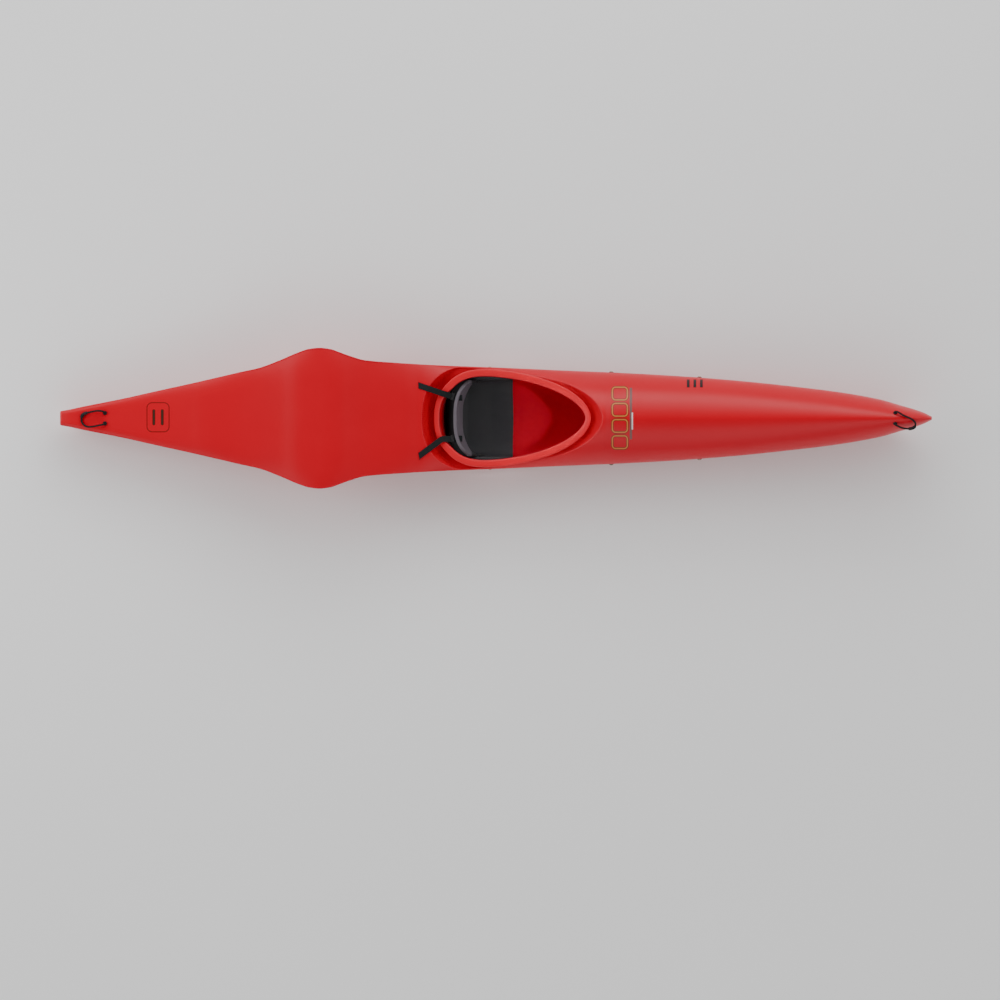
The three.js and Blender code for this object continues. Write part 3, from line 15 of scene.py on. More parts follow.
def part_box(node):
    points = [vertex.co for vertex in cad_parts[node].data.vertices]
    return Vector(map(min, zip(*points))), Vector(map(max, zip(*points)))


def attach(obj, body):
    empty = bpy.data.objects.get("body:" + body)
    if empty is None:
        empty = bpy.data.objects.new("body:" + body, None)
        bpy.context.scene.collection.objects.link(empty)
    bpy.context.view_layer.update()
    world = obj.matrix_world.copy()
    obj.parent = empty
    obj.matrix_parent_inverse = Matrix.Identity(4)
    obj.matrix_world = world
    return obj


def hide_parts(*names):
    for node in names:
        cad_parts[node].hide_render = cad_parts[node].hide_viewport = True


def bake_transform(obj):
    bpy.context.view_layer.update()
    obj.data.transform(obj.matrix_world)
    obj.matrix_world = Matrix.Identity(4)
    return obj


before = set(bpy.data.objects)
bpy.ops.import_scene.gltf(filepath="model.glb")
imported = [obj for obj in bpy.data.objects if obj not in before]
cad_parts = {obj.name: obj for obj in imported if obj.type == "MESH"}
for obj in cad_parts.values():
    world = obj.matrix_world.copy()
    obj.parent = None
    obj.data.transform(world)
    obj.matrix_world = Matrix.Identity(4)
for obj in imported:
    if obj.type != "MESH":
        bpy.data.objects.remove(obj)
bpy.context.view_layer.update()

# Driving dimensions, from the frame

hull_low, hull_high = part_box("hull_shell")
LENGTH = hull_high.x - hull_low.x
BEAM = hull_high.y - hull_low.y
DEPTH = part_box("deck_cockpit")[1].z
WALL = 0.005
FIT_GAP = 0.0003

# Camera: straight down on the boat, which lies above the middle of a square picture

PICTURE_SPAN = 4.255
PICTURE_CENTRE = (0.017, -0.348)
CAMERA_HEIGHT = 9.0
FLOOR_SIZE = 16.0
FLOOR_HEIGHT = -0.0005
WORLD_HORIZON = (0.30, 0.30, 0.30, 1)
WORLD_BAND_PORT = (2.3, 2.3, 2.3, 1)
WORLD_BAND_STARBOARD = (1.5, 1.5, 1.5, 1)
WORLD_ZENITH = (0.05, 0.05, 0.05, 1)
# Sines of the directions between which the dome's colour changes: across the boat, then upwards
DOME_ACROSS = (-0.4, 0.4)
DOME_BAND_STARTS = (0.2, 0.42)
DOME_BAND_ENDS = (0.62, 0.86)
# Lamps: name, place, what it is turned to, its two sizes, power and spread in degrees
STUDIO_LAMPS = [
    ("key_port", (0.4, 4.2, 2.2), (0, 0, 0.2), (5.0, 1.3), 60, 180),
    ("fill_aft", (-4.4, 0.5, 2.4), (-0.9, 0, 0.2), (1.8, 1.2), 40, 180),
    ("into_cockpit", (1.2, 0, 2.1), (0.06, 0, 0.08), (0.12, 0.12), 0.15, 13),
]

# Lines of the boat: each row is [place from stern 0 to bow 1, value]

CREASE_BEAM_SHARES = [
    [0, 0.1], [0.012, 0.127], [0.023, 0.157], [0.069, 0.27], [0.115, 0.397], [0.161, 0.523],
    [0.206, 0.653], [0.229, 0.717], [0.252, 0.823], [0.275, 0.943], [0.287, 0.987], [0.298, 1],
    [0.31, 0.982], [0.321, 0.935], [0.333, 0.882], [0.35, 0.823], [0.378, 0.793], [0.436, 0.75],
    [0.505, 0.717], [0.573, 0.68], [0.642, 0.645], [0.711, 0.597], [0.78, 0.53], [0.849, 0.44],
    [0.895, 0.368], [0.94, 0.268], [0.964, 0.183], [0.982, 0.118], [0.992, 0.072], [1, 0.02],
]
LOWER_BEAM_SHARES = [
    [0, 1], [0.11, 1], [0.161, 0.95], [0.206, 0.84], [0.252, 0.68], [0.298, 0.58],
    [0.344, 0.76], [0.39, 0.89], [0.436, 0.975], [0.48, 1], [1, 1],
]
KEEL_HEIGHT_SHARES = [
    [0, 0.133], [0.08, 0.1], [0.161, 0.069], [0.229, 0.036], [0.31, 0], [0.55, 0],
    [0.62, 0.022], [0.7, 0.035], [0.78, 0.053], [0.87, 0.068], [0.93, 0.083], [1, 0.085],
]
CREASE_HEIGHT_SHARES = [
    [0, 0.525], [0.057, 0.563], [0.103, 0.59], [0.145, 0.64], [0.206, 0.72], [0.247, 0.778],
    [0.275, 0.85], [0.298, 0.892], [0.321, 0.88], [0.346, 0.85], [0.381, 0.79], [0.414, 0.713],
    [0.447, 0.602], [0.505, 0.562], [0.573, 0.503], [0.665, 0.473], [0.734, 0.512], [0.805, 0.547],
    [0.9, 0.61], [0.953, 0.66], [1, 0.76],
]
CROWN_HEIGHT_SHARES = [
    [0, 0.555], [0.012, 0.58], [0.057, 0.598], [0.103, 0.624], [0.149, 0.686], [0.161, 0.708],
    [0.206, 0.76], [0.229, 0.799], [0.252, 0.849], [0.275, 0.911], [0.292, 0.932], [0.31, 0.947],
    [0.321, 0.94], [0.333, 0.915], [0.35, 0.882], [0.378, 0.849], [0.399, 0.825], [0.413, 0.8],
    [0.436, 0.782], [0.487, 0.83], [0.55, 0.92], [0.596, 0.978], [0.62, 1], [0.6235, 1],
    [0.631, 0.982], [0.64, 0.962], [0.65, 0.95], [0.78, 0.951], [0.849, 0.962], [0.906, 0.976],
    [0.952, 0.988], [1, 0.988],
]
# Powers of the section curves: a higher one is boxier
HULL_POWERS = [[0, 4], [0.15, 3.4], [0.3, 2.6], [0.5, 2.4], [0.75, 2.2], [0.92, 1.9], [1, 1.8]]
CROWN_POWERS = [
    [0, 6], [0.2, 5], [0.3, 4], [0.38, 3.2], [0.45, 2.4], [0.6, 1.7], [0.68, 1.5], [0.9, 1.5], [1, 1.7],
]
SHOULDER_POWERS = [[0, 1], [0.35, 1], [0.45, 1.2], [0.6, 1.5], [0.68, 1.7], [1, 1.7]]
FLARE_POWER = 3
KEEL_FLAT_SHARE = 0.1
STEM_HEIGHT_SHARE = 0.76
STEM_TOP_START_SHARE = 0.9575
STEM_FOOT_START_SHARE = 0.9266
STEM_TOP_POWER = 2
STEM_FOOT_POWER = 2.4
STEM_NOSE_SHARE = 0.01
END_ROUND = 0.007
END_LEAST_SHARE = 0.2
END_TURN_SHARES = (0.25, 0.5, 0.75, 1)
END_CLOSING_SHARES = (0.75, 0.5, 0.25, 0.02)
SECTION_SAMPLES = 161
WIDTH_SAMPLES = 241
SLOPE_STEP = 0.001

# The cockpit

COCKPIT_LENGTH = 0.600
COCKPIT_WIDTH = 0.354
COCKPIT_WIDEST_SHARE = 0.4873
COCKPIT_REAR_SHARE = 0.292
COCKPIT_REAR_POWER = 2.4
COCKPIT_FRONT_POWER = 1.75
RIM_HEIGHT = 0.226
RIM_RISE = 0.085
RIM_LEVEL_SHARE = 0.22
COAMING_WALL = 0.005
COAMING_HEIGHT = 0.025
COAMING_TAIL = 0.008
LIP_WIDTH = 0.032
LIP_THICKNESS = 0.005
LIP_TURN_DOWN = 0.004
LIP_FRONT_TAPER = 0.16
LIP_TAPER_START = 0.7
REAR_LEAN = 0.021
REAR_LIP_SHIFT = 0.012
REAR_SPAN = 0.125
REAR_FADE_POWER = 2.5
TROUGH_FLOOR_FRONT = 0.045
TROUGH_FLOOR_REAR = 0.064
TROUGH_RUN_FRONT_SHARE = 0.85
TROUGH_RUN_REAR_SHARE = 0.42
TROUGH_FILLET = 0.012
TROUGH_EDGE_ROUND = 0.006
CURVE_SAMPLES = 4001
EDGE_POINTS = 720
EDGE_BATCH = 4096

# The seat and the back band

SEAT_FRONT_REACH = 0.119
SEAT_REAR_REACH = 0.161
SEAT_WALL = 0.005
SEAT_HALF_WIDTH = 0.1635
SEAT_CHEEK_HEIGHT = 0.165
SEAT_FLANGE_HEIGHT = 0.042
SEAT_PAN_SHARES = [[0, 0.5], [0.14, 0.3], [0.35, 0.21], [0.65, 0.21], [0.85, 0.27], [1, 0.33]]
SEAT_CHEEK_SHARES = [[0, 0.72], [0.2, 0.95], [0.4, 1], [0.75, 1], [1, 0.68]]
SEAT_CURVE_SHARES = [
    [0, 0], [0.16, 0], [0.32, 0.005], [0.48, 0.02], [0.64, 0.04], [0.8, 0.1], [0.91, 0.2],
    [0.98, 0.38], [1, 0.6],
]
SEAT_POMMEL_HEIGHT = 0.010
SEAT_POMMEL_WIDTH = 0.026
SEAT_HOLLOW_DEPTH = 0.009
SEAT_HOLLOW_PLACE = 0.106
SEAT_HOLLOW_WIDTH = 0.034
SEAT_FORM_POWER = 3
SEAT_EDGE_ROUND = 0.0012
# The round arc that the band's tabs end on
BAND_RADIUS = 0.213
BAND_HALF_WIDTH = 0.158
BAND_THICKNESS = 0.008
BAND_RIM_THICKNESS = 0.016
BAND_TAB_THICKNESS = 0.005
BAND_HEIGHT = 0.110
BAND_TAB_HEIGHT = 0.044
BAND_MIDDLE_HEIGHT = 0.158
BAND_PIVOT_HEIGHT = 0.130
BAND_BACK_PLACE = -0.113
BAND_CURVE_DEPTH = 0.046
BAND_CURVE_POWER = 3
BAND_END_LOSS = 0.3
BAND_END_POWER = 6
BAND_LEAN_SHARE = 0.27
BAND_BEND = 0.018
BAND_BEND_SHARES = (0.3, 0.1)
BAND_BEND_BODY = 0.3
BAND_TAB_LENGTH = 0.034
# How far forward of its back the band stays grey; ahead of that its ends and tabs are painted
# near-black as shade
BAND_GREY_REACH = 0.0565
BAND_EDGE_ROUND = 0.0016
# The band's rolled edge, as shares of its half height: where it starts and how soon it is full
BAND_RIM_START = 0.75
BAND_RIM_RUN = 0.12
BAND_TOP_START = 0.92
BAND_TOP_RUN = 0.08
BAND_TOP_LOSS = 0.4
STRAP_WIDTH = 0.025
STRAP_THICKNESS = 0.002
STRAP_PLACE = 0.087
STRAP_SLOT_HEIGHT = 0.005
STRAP_SLOT_MARGIN = 0.0015
STRAP_SLOT_DROP = 0.017
STRAP_TAB = 0.012
STRAP_TAB_SHARES = (1, 0.6, 0.25)
STRAP_TAB_STANDOFF = 0.008
STRAP_TAB_LEAN = 0.001
# Rows of the fold from the tab to the slot: [forward of the tab, under the slot's middle]
STRAP_FOLD = [[0.0007, 0.0012], [-0.0008, 0.0002], [-0.004, 0]]
STRAP_LINES = (0, 0.25, 0.5, 0.75, 1)
STRAP_WOVEN_SHARE = 0.85
STRAP_EDGE_ROUND = 0.0005
STRAP_RIM_PLACE = 0.097
STRAP_TAIL_LENGTH = 0.127
STRAP_EASE_STEPS = 4
STRAP_EASE_PASSES = 3
# For each side: where the strap turns outward, how far aft of the rim, and its slope from there
STRAP_TURNS = {1: (STRAP_RIM_PLACE, 0, 0.34), -1: (0.0885, 0.026, 0.74)}
STRAP_CUTS = {1: 0, -1: 0.006}
STRAP_LIFT = 0.0007
BUCKLE_WIDTH = 0.033
BUCKLE_LENGTH = 0.015
BUCKLE_THICKNESS = 0.007
BUCKLE_GAP = 0.0006
BUCKLE_PLACE_SHARE = 0.45
BUCKLE_EDGE = 0.001
BUCKLE_CORNER = 0.0022
BUCKLE_CORNER_STEPS = 4
BUCKLE_SLOT_CORNER = 0.0008
BUCKLE_SHOULDER_SHARE = 0.55
BUCKLE_WAIST_SHARE = 0.4

# Screws through the hull and the pivots of the back band

SEAT_SCREW_PLACE = 0.021
SEAT_SCREW_HEIGHT = 0.145
RAIL_SCREW_SPACING = 0.375
RAIL_REAR_REACH = 0.113
RAIL_REAR_HEIGHT = 0.150
RAIL_FRONT_HEIGHT = 0.164
SCREW_HEAD_RADIUS = 0.0072
SCREW_HEAD_HEIGHT = 0.0036
WASHER_RADIUS = 0.0095
WASHER_HOLE_RADIUS = 0.003
WASHER_THICKNESS = 0.0022
WASHER_SINK = 0.0008
WASHER_SQUARENESS = 0.5
PIVOT_HEAD_RADIUS = 0.0065
PIVOT_HEAD_HEIGHT = 0.003
PIVOT_SHANK = 0.018

# Grab loops: [reach from the eyelets, place across, height over the deck's crown at the eyelets]

ROPE_RADIUS = 0.004
ROPE_SIDES = 16
LOOP_POINTS = 120
SLEEVE_RADIUS_SHARE = 1.75
SLEEVE_SIDES = 20
ANCHOR_SPREAD = 0.044
EYELET_RADIUS = 0.009
EYELET_CLEARANCE = 0.0002
EYELET_HEIGHT = 0.004
EYELET_SINK = 0.0005
EYELET_SQUARENESS = 0.65
STERN_LOOP_SETBACK = 0.191
BOW_LOOP_SETBACK = 0.156
# The loops' points that their sleeves reach from and to
STERN_SLEEVE_SPAN = (40, 56)
BOW_SLEEVE_SPAN = (68, 84)
STERN_LOOP_ROUTE = [
    [0.007, 0.028, 0.014], [0.020, 0.031, 0.018], [0.038, 0.031, 0.019], [0.058, 0.027, 0.016],
    [0.076, 0.023, 0.010], [0.090, 0.018, 0.004], [0.098, 0.009, 0.0015], [0.100, -0.004, 0.0008],
    [0.098, -0.017, 0.0015], [0.090, -0.028, 0.004], [0.076, -0.036, 0.010], [0.058, -0.036, 0.016],
    [0.038, -0.033, 0.019], [0.020, -0.029, 0.018], [0.007, -0.026, 0.014],
]
BOW_LOOP_ROUTE = [
    [0.010, 0.027, 0.002], [0.025, 0.018, 0.002], [0.042, 0.009, 0.0025], [0.058, 0.002, 0.001],
    [0.071, -0.005, -0.003], [0.081, -0.014, -0.009], [0.086, -0.025, -0.016],
    [0.082, -0.037, -0.021], [0.072, -0.043, -0.023], [0.055, -0.045, -0.022],
    [0.037, -0.043, -0.019], [0.020, -0.038, -0.012], [0.008, -0.032, -0.005],
]


# Small mathematical helpers

def mix(start, end, share):
    return start + (end - start) * share


def smooth_min(a, b, width):
    overlap = np.maximum(width - np.abs(a - b), 0) / width
    return np.minimum(a, b) - overlap ** 2 * width / 4


def smooth_max(a, b, width):
    return -smooth_min(-a, -b, width)


def smooth_step(value):
    t = np.clip(value, 0, 1)
    return t * t * (3 - 2 * t)


def swell(distance, width):
    return np.exp(-((distance / width) ** 2))


def walked(points):
    """The way along a polyline to each of its points."""
    return np.concatenate([[0], np.cumsum(np.linalg.norm(np.diff(points, axis=0), axis=1))])


def curve_through(rows):
    """A smooth curve through a table's rows that never overshoots them."""
    places, values = np.array(rows, float).T
    slopes = np.diff(values) / np.diff(places)
    before, after = slopes[:-1], slopes[1:]
    same = before * after > 0
    total = np.where(same, before + after, 1)
    inner = np.where(same, 2 * before * after / total, 0)
    tangents = np.concatenate([slopes[:1], inner, slopes[-1:]])

    def at(place):
        held = np.clip(place, places[0], places[-1])
        i = np.clip(np.searchsorted(places, held, side="right") - 1, 0, len(places) - 2)
        width = places[i + 1] - places[i]
        t = (held - places[i]) / width
        first = (1 + 2 * t) * (1 - t) ** 2 * values[i] + t * (1 - t) ** 2 * width * tangents[i]
        last = t * t * (3 - 2 * t) * values[i + 1] - t * t * (1 - t) * width * tangents[i + 1]
        return first + last

    return at


def evenly(points, count):
    """A polyline's points placed again at even steps along it."""
    points = np.asarray(points, float)
    ways = walked(points)
    goals = np.linspace(0, ways[-1], count)
    return np.stack([np.interp(goals, ways, values) for values in points.T], 1)


def smooth_path(points, count):
    """A natural cubic curve through the points, as evenly spaced points."""
    points = np.asarray(points, float)
    knots = walked(points)
    steps = np.diff(knots)
    size = len(points)
    system, right = np.eye(size), np.zeros((size, 3))
    for i in range(1, size - 1):
        system[i, i - 1:i + 2] = steps[i - 1], 2 * (steps[i - 1] + steps[i]), steps[i]
        ahead = (points[i + 1] - points[i]) / steps[i]
        behind = (points[i] - points[i - 1]) / steps[i - 1]
        right[i] = 6 * (ahead - behind)
    bends = np.linalg.solve(system, right)
    at = np.linspace(0, knots[-1], count * 8)
    i = np.clip(np.searchsorted(knots, at, side="right") - 1, 0, size - 2)
    width = steps[i][:, None]
    a = (knots[i + 1][:, None] - at[:, None]) / width
    b = 1 - a
    curved = ((a ** 3 - a) * bends[i] + (b ** 3 - b) * bends[i + 1]) * width ** 2 / 6
    return evenly(a * points[i] + b * points[i + 1] + curved, count)


# The boat's lines

crease_beam_share = curve_through(CREASE_BEAM_SHARES)
lower_beam_share = curve_through(LOWER_BEAM_SHARES)
keel_height_share = curve_through(KEEL_HEIGHT_SHARES)
crease_height_share = curve_through(CREASE_HEIGHT_SHARES)
crown_height_share = curve_through(CROWN_HEIGHT_SHARES)
hull_power = curve_through(HULL_POWERS)
crown_power = curve_through(CROWN_POWERS)
shoulder_power = curve_through(SHOULDER_POWERS)


def place_of(x):
    return x / LENGTH + 0.5


def at_place(place):
    return (place - 0.5) * LENGTH


def half_beam(x):
    return crease_beam_share(place_of(x)) * BEAM / 2


def crease_height(x):
    return crease_height_share(place_of(x)) * DEPTH


def stem_share(x, start_share, power):
    """How much of the full height is left in the rounding that starts at a place."""
    start = at_place(start_share)
    reach = (LENGTH / 2 - start) * (1 + STEM_NOSE_SHARE)
    return (1 - np.clip((x - start) / reach, 0, 1) ** power) ** 0.5


def keel_height(x):
    tip = STEM_HEIGHT_SHARE * DEPTH
    left = stem_share(x, STEM_FOOT_START_SHARE, STEM_FOOT_POWER)
    return mix(tip, keel_height_share(place_of(x)) * DEPTH, left)


def crown_height(x):
    tip = STEM_HEIGHT_SHARE * DEPTH
    left = stem_share(x, STEM_TOP_START_SHARE, STEM_TOP_POWER)
    return mix(tip, crown_height_share(place_of(x)) * DEPTH, left)


def hull_curve(x, turn):
    """The hull's half-section, from the edge of the keel's flat at turn 0 to the crease at turn 1."""
    power = 2 / hull_power(place_of(x))
    lower = half_beam(x) * lower_beam_share(place_of(x))
    flat = lower * KEEL_FLAT_SHARE
    sine = np.clip(np.sin(turn * math.pi / 2), 0, 1)
    cosine = np.clip(np.cos(turn * math.pi / 2), 0, 1)
    climb = 1 - cosine ** power
    flare = (half_beam(x) - lower) * climb ** FLARE_POWER
    y = flat + (lower - flat) * sine ** power + flare
    return y, mix(keel_height(x), crease_height(x), climb)


def crown_curve(x, y):
    """Height of the deck above a place, before the cockpit is sunk into it."""
    across = np.clip(np.abs(y) / half_beam(x), 0, 1)
    place = place_of(x)
    share = (1 - across ** crown_power(place)) ** (1 / shoulder_power(place))
    return mix(crease_height(x), crown_height(x), share)


def hull_width_at(x, height):
    """Half-width of the hull at a height, from its keel up to its crease."""
    y, z = hull_curve(x, np.linspace(0, 1, WIDTH_SAMPLES))
    return float(np.interp(height, z, y))


# The cockpit's outline and the trough round it

COCKPIT_WIDEST = at_place(COCKPIT_WIDEST_SHARE)
COCKPIT_REACH_AFT = COCKPIT_LENGTH * COCKPIT_REAR_SHARE
COCKPIT_REACH_FORWARD = COCKPIT_LENGTH - COCKPIT_REACH_AFT
COCKPIT_REAR_END = COCKPIT_WIDEST - COCKPIT_REACH_AFT
COCKPIT_FRONT_END = COCKPIT_WIDEST + COCKPIT_REACH_FORWARD


def rim_height(x):
    level = COCKPIT_REAR_END + COCKPIT_LENGTH * RIM_LEVEL_SHARE
    sweep = (x - level) / (COCKPIT_FRONT_END + LIP_WIDTH - level)
    return RIM_HEIGHT + RIM_RISE * np.maximum(sweep, 0) ** 2


def cockpit_outline(count):
    """Evenly spaced points of the opening's edge, and at each the direction out of the opening."""
    angle = np.linspace(0, 2 * math.pi, CURVE_SAMPLES)
    ahead = np.cos(angle) >= 0
    power = 2 / np.where(ahead, COCKPIT_FRONT_POWER, COCKPIT_REAR_POWER)
    reach = np.where(ahead, COCKPIT_REACH_FORWARD, COCKPIT_REACH_AFT)
    x = COCKPIT_WIDEST + reach * np.sign(np.cos(angle)) * np.abs(np.cos(angle)) ** power
    y = COCKPIT_WIDTH / 2 * np.sign(np.sin(angle)) * np.abs(np.sin(angle)) ** power
    points = evenly(np.stack([x, y], 1), count + 1)[:-1]
    along = np.roll(points, -2, axis=0) - np.roll(points, 2, axis=0)
    along /= np.linalg.norm(along, axis=1)[:, None]
    return points, np.stack([along[:, 1], -along[:, 0]], 1)


EDGE, EDGE_OUT = cockpit_outline(EDGE_POINTS)


def from_edge(x, y):
    """Distance out from the opening's edge, and how much of it faces the bow, 0 to 1."""
    places = np.stack([np.ravel(x), np.ravel(y)], 1)
    distance, front = np.empty(len(places)), np.empty(len(places))
    for start in range(0, len(places), EDGE_BATCH):
        part = slice(start, start + EDGE_BATCH)
        away = places[part][:, None, :] - EDGE[None, :, :]
        nearest = np.argmin((away ** 2).sum(2), axis=1)
        rows = np.arange(len(nearest))
        distance[part] = (away[rows, nearest] * EDGE_OUT[nearest]).sum(1)
        front[part] = (1 + EDGE_OUT[nearest, 0]) / 2
    return distance.reshape(np.shape(x)), front.reshape(np.shape(x))


def rearness(y, front):
    """How much of the rim's lean and shift aft a place round the opening has."""
    return np.where(front < 0.5, np.maximum(0, 1 - np.abs(y / REAR_SPAN) ** REAR_FADE_POWER), 0)


def sunk_deck(x, y, distance, front):
    """Height of the deck at a distance out from the opening's edge."""
    crown = crown_curve(x, y)
    floor = rim_height(x) - COAMING_HEIGHT
    floor_width = mix(TROUGH_FLOOR_REAR, TROUGH_FLOOR_FRONT, front)
    run = mix(TROUGH_RUN_REAR_SHARE, TROUGH_RUN_FRONT_SHARE, front)
    wall = floor + (distance - floor_width) / run
    trough = smooth_max(floor, wall, TROUGH_FILLET)
    sunk = smooth_min(crown, trough, TROUGH_EDGE_ROUND)
    inboard = smooth_step((half_beam(x) - np.abs(y)) / TROUGH_FILLET)
    return mix(crown, sunk, inboard)


def deck_top(x, y):
    """Height of the deck's outer face, with the trough round the cockpit sunk into it."""
    x, y = np.broadcast_arrays(np.asarray(x, float), np.asarray(y, float))
    return sunk_deck(x, y, *from_edge(x, y))


def shell_top(x, y):
    """Height of the top of the shells: the deck, or the coaming's lip where that covers it."""
    x, y = np.broadcast_arrays(np.asarray(x, float), np.asarray(y, float))
    distance, front = from_edge(x, y)
    aft = rearness(y, front)
    on_lip = (distance >= REAR_LEAN * aft) & (distance <= LIP_WIDTH + REAR_LIP_SHIFT * aft)
    return np.where(on_lip, rim_height(x), np.where(distance < 0, 0, deck_top(x, y)))


# Meshes

DOUBLE_POINTS = 1e-7
EDGE_ANGLE = 0.9
WEBBING_EDGE_ANGLE = 1.2
CAP_SHARES = (0.2, 0.6, 1)
CAP_BULGE = 0.6
CAP_TIP_SHARE = 0.02
TURNED_SIDES = 36


def mesh_object(name, points, faces, materials, smooth=True):
    mesh = bpy.data.meshes.new(name)
    mesh.from_pydata([tuple(map(float, p)) for p in points], [], faces)
    made = bpy.data.objects.new(name, mesh)
    bpy.context.scene.collection.objects.link(made)
    for material in materials:
        mesh.materials.append(material)
    mesh.shade_smooth() if smooth else mesh.shade_flat()
    return made


def grid_faces(rows, columns, closed_across=False, closed_along=False):
    """Quads over rows of points, joined to a ring across or along where asked."""
    faces = []
    for r in range(rows if closed_along else rows - 1):
        for c in range(columns if closed_across else columns - 1):
            here, there = r * columns, ((r + 1) % rows) * columns
            d = (c + 1) % columns
            faces.append((here + c, here + d, there + d, there + c))
    return faces


def closed_tube_faces(rows, columns):
    """Quads round rows of rings, and a face on the first and the last ring."""
    last = (rows - 1) * columns
    caps = [tuple(reversed(range(columns))), tuple(range(last, last + columns))]
    return grid_faces(rows, columns, closed_across=True) + caps


def face_outwards(made):
    """Merges a closed mesh's doubled points and turns its faces outwards."""
    work = bmesh.new()
    work.from_mesh(made.data)
    bmesh.ops.remove_doubles(work, verts=work.verts, dist=DOUBLE_POINTS)
    bmesh.ops.recalc_face_normals(work, faces=work.faces)
    work.to_mesh(made.data)
    work.free()


def finished(made):
    """The object with its modifiers made part of its mesh."""
    graph = bpy.context.evaluated_depsgraph_get()
    mesh = bpy.data.meshes.new_from_object(made.evaluated_get(graph))
    made.modifiers.clear()
    made.data = mesh
    return made


def thickened(made, thickness, offset=-1, group=None, **settings):
    """Gives a sheet its wall: inwards at offset -1, to both sides at offset 0."""
    solid = made.modifiers.new("wall", "SOLIDIFY")
    solid.thickness = thickness
    solid.offset = offset
    solid.use_even_offset = False
    solid.use_quality_normals = True
    if group:
        solid.vertex_group = group
    for key, value in settings.items():
        setattr(solid, key, value)


def rounded(made, width, segments, angle):
    """Rounds the edges that turn by more than an angle."""
    bevel = made.modifiers.new("edges", "BEVEL")
    bevel.width = width
    bevel.segments = segments
    bevel.limit_method = "ANGLE"
    bevel.angle_limit = angle
    bevel.harden_normals = False


def turned_mesh(name, profile, sides, materials, hex_from=None):
    """A solid turned round Z from [radius, height] rows. From row hex_from on it is six-sided."""
    points = []
    for row, (radius, height) in enumerate(profile):
        for i in range(sides):
            angle = 2 * math.pi * i / sides
            flat = (angle % (math.pi / 3)) - math.pi / 6
            reach = radius / math.cos(flat) if hex_from is not None and row >= hex_from else radius
            points.append((reach * math.cos(angle), reach * math.sin(angle), height))
    faces = closed_tube_faces(len(profile), sides)
    made = mesh_object(name, points, faces, materials)
    face_outwards(made)
    return made


def tube_mesh(name, path, radius, sides, materials):
    """A round tube along a path, with rounded ends. Its UV map runs round it and along it."""
    path = np.asarray(path, float)
    ahead = np.gradient(path, axis=0)
    ahead /= np.linalg.norm(ahead, axis=1)[:, None]
    side = np.cross(ahead[0], (0, 0, 1) if abs(ahead[0][2]) < 0.9 else (1, 0, 0))
    centres, radii, frames = [], [], []
    for heading in ahead:
        side = side - heading * side.dot(heading)
        side /= np.linalg.norm(side)
        frames.append((side.copy(), np.cross(heading, side)))

    def cap(end, sign, shares):
        for share in shares:
            angle = share * math.pi / 2
            bulge = radius * CAP_BULGE * math.sin(angle)
            centres.append((path[end] + sign * ahead[end] * bulge, frames[end]))
            radii.append(radius * max(math.cos(angle), CAP_TIP_SHARE))

    cap(0, -1, reversed(CAP_SHARES))
    centres += list(zip(path, frames))
    radii += [radius] * len(path)
    cap(-1, 1, CAP_SHARES)
    turns = np.linspace(0, 2 * math.pi, sides, endpoint=False)
    points = [
        centre + r * (math.cos(t) * across + math.sin(t) * up)
        for (centre, (across, up)), r in zip(centres, radii) for t in turns
    ]
    made = mesh_object(name, points, closed_tube_faces(len(centres), sides), materials)
    ways = walked([centre for centre, _ in centres])
    layer = made.data.uv_layers.new(name="UVMap")
    for face in made.data.polygons:
        wraps = len(face.vertices) == 4 and face.vertices[1] % sides == 0
        for loop in face.loop_indices:
            row, column = divmod(made.data.loops[loop].vertex_index, sides)
            share = 1.0 if wraps and column == 0 else column / sides
            layer.data[loop].uv = (share, ways[row] / (2 * math.pi * radius))
    return made


# Node trees

class Tree:
    """Adds nodes to a node tree, and links or sets what their sockets are given."""

    def __init__(self, tree):
        self.tree = tree

    def feed(self, socket, value):
        if isinstance(value, bpy.types.NodeSocket):
            self.tree.links.new(value, socket)
        else:
            socket.default_value = value

    def node(self, kind, inputs=(), **settings):
        made = self.tree.nodes.new(kind)
        for key, value in settings.items():
            setattr(made, key, value)
        for key, value in dict(inputs).items():
            self.feed(made.inputs[key], value)
        return made

    def math(self, operation, *values):
        return self.node("ShaderNodeMath", enumerate(values), operation=operation).outputs[0]

    def vector(self, operation, *values):
        return self.node("ShaderNodeVectorMath", enumerate(values), operation=operation).outputs[0]

    def colour(self, share, low, high, blend="MIX"):
        inputs = {0: share, 6: low, 7: high}
        return self.node("ShaderNodeMix", inputs, data_type="RGBA", blend_type=blend).outputs[2]

    def range(self, value, low, high, to_low=0.0, to_high=1.0):
        inputs = {0: value, 1: low, 2: high, 3: to_low, 4: to_high}
        return self.node("ShaderNodeMapRange", inputs).outputs[0]

    def noise(self, vector, scale, detail=2.0, roughness=0.5):
        inputs = {"Vector": vector, "Scale": scale, "Detail": detail, "Roughness": roughness}
        return self.node("ShaderNodeTexNoise", inputs).outputs["Fac"]

    def group(self, tree, inputs):
        made = self.tree.nodes.new("ShaderNodeGroup")
        made.node_tree = tree
        for key, value in inputs.items():
            self.feed(made.inputs[key], value)
        return made.outputs


def node_group(name, inputs, outputs, kind="ShaderNodeTree"):
    """An empty node group with named sockets, its Tree and its input and output nodes."""
    group = bpy.data.node_groups.new(name, kind)
    for label, (socket, start) in inputs.items():
        made = group.interface.new_socket(name=label, in_out="INPUT", socket_type=socket)
        if start is not None:
            made.default_value = start
    for label, socket in outputs.items():
        group.interface.new_socket(name=label, in_out="OUTPUT", socket_type=socket)
    tree = Tree(group)
    return group, tree, tree.node("NodeGroupInput").outputs, tree.node("NodeGroupOutput").inputs


FLOAT, VECTOR, COLOUR = "NodeSocketFloat", "NodeSocketVector", "NodeSocketColor"


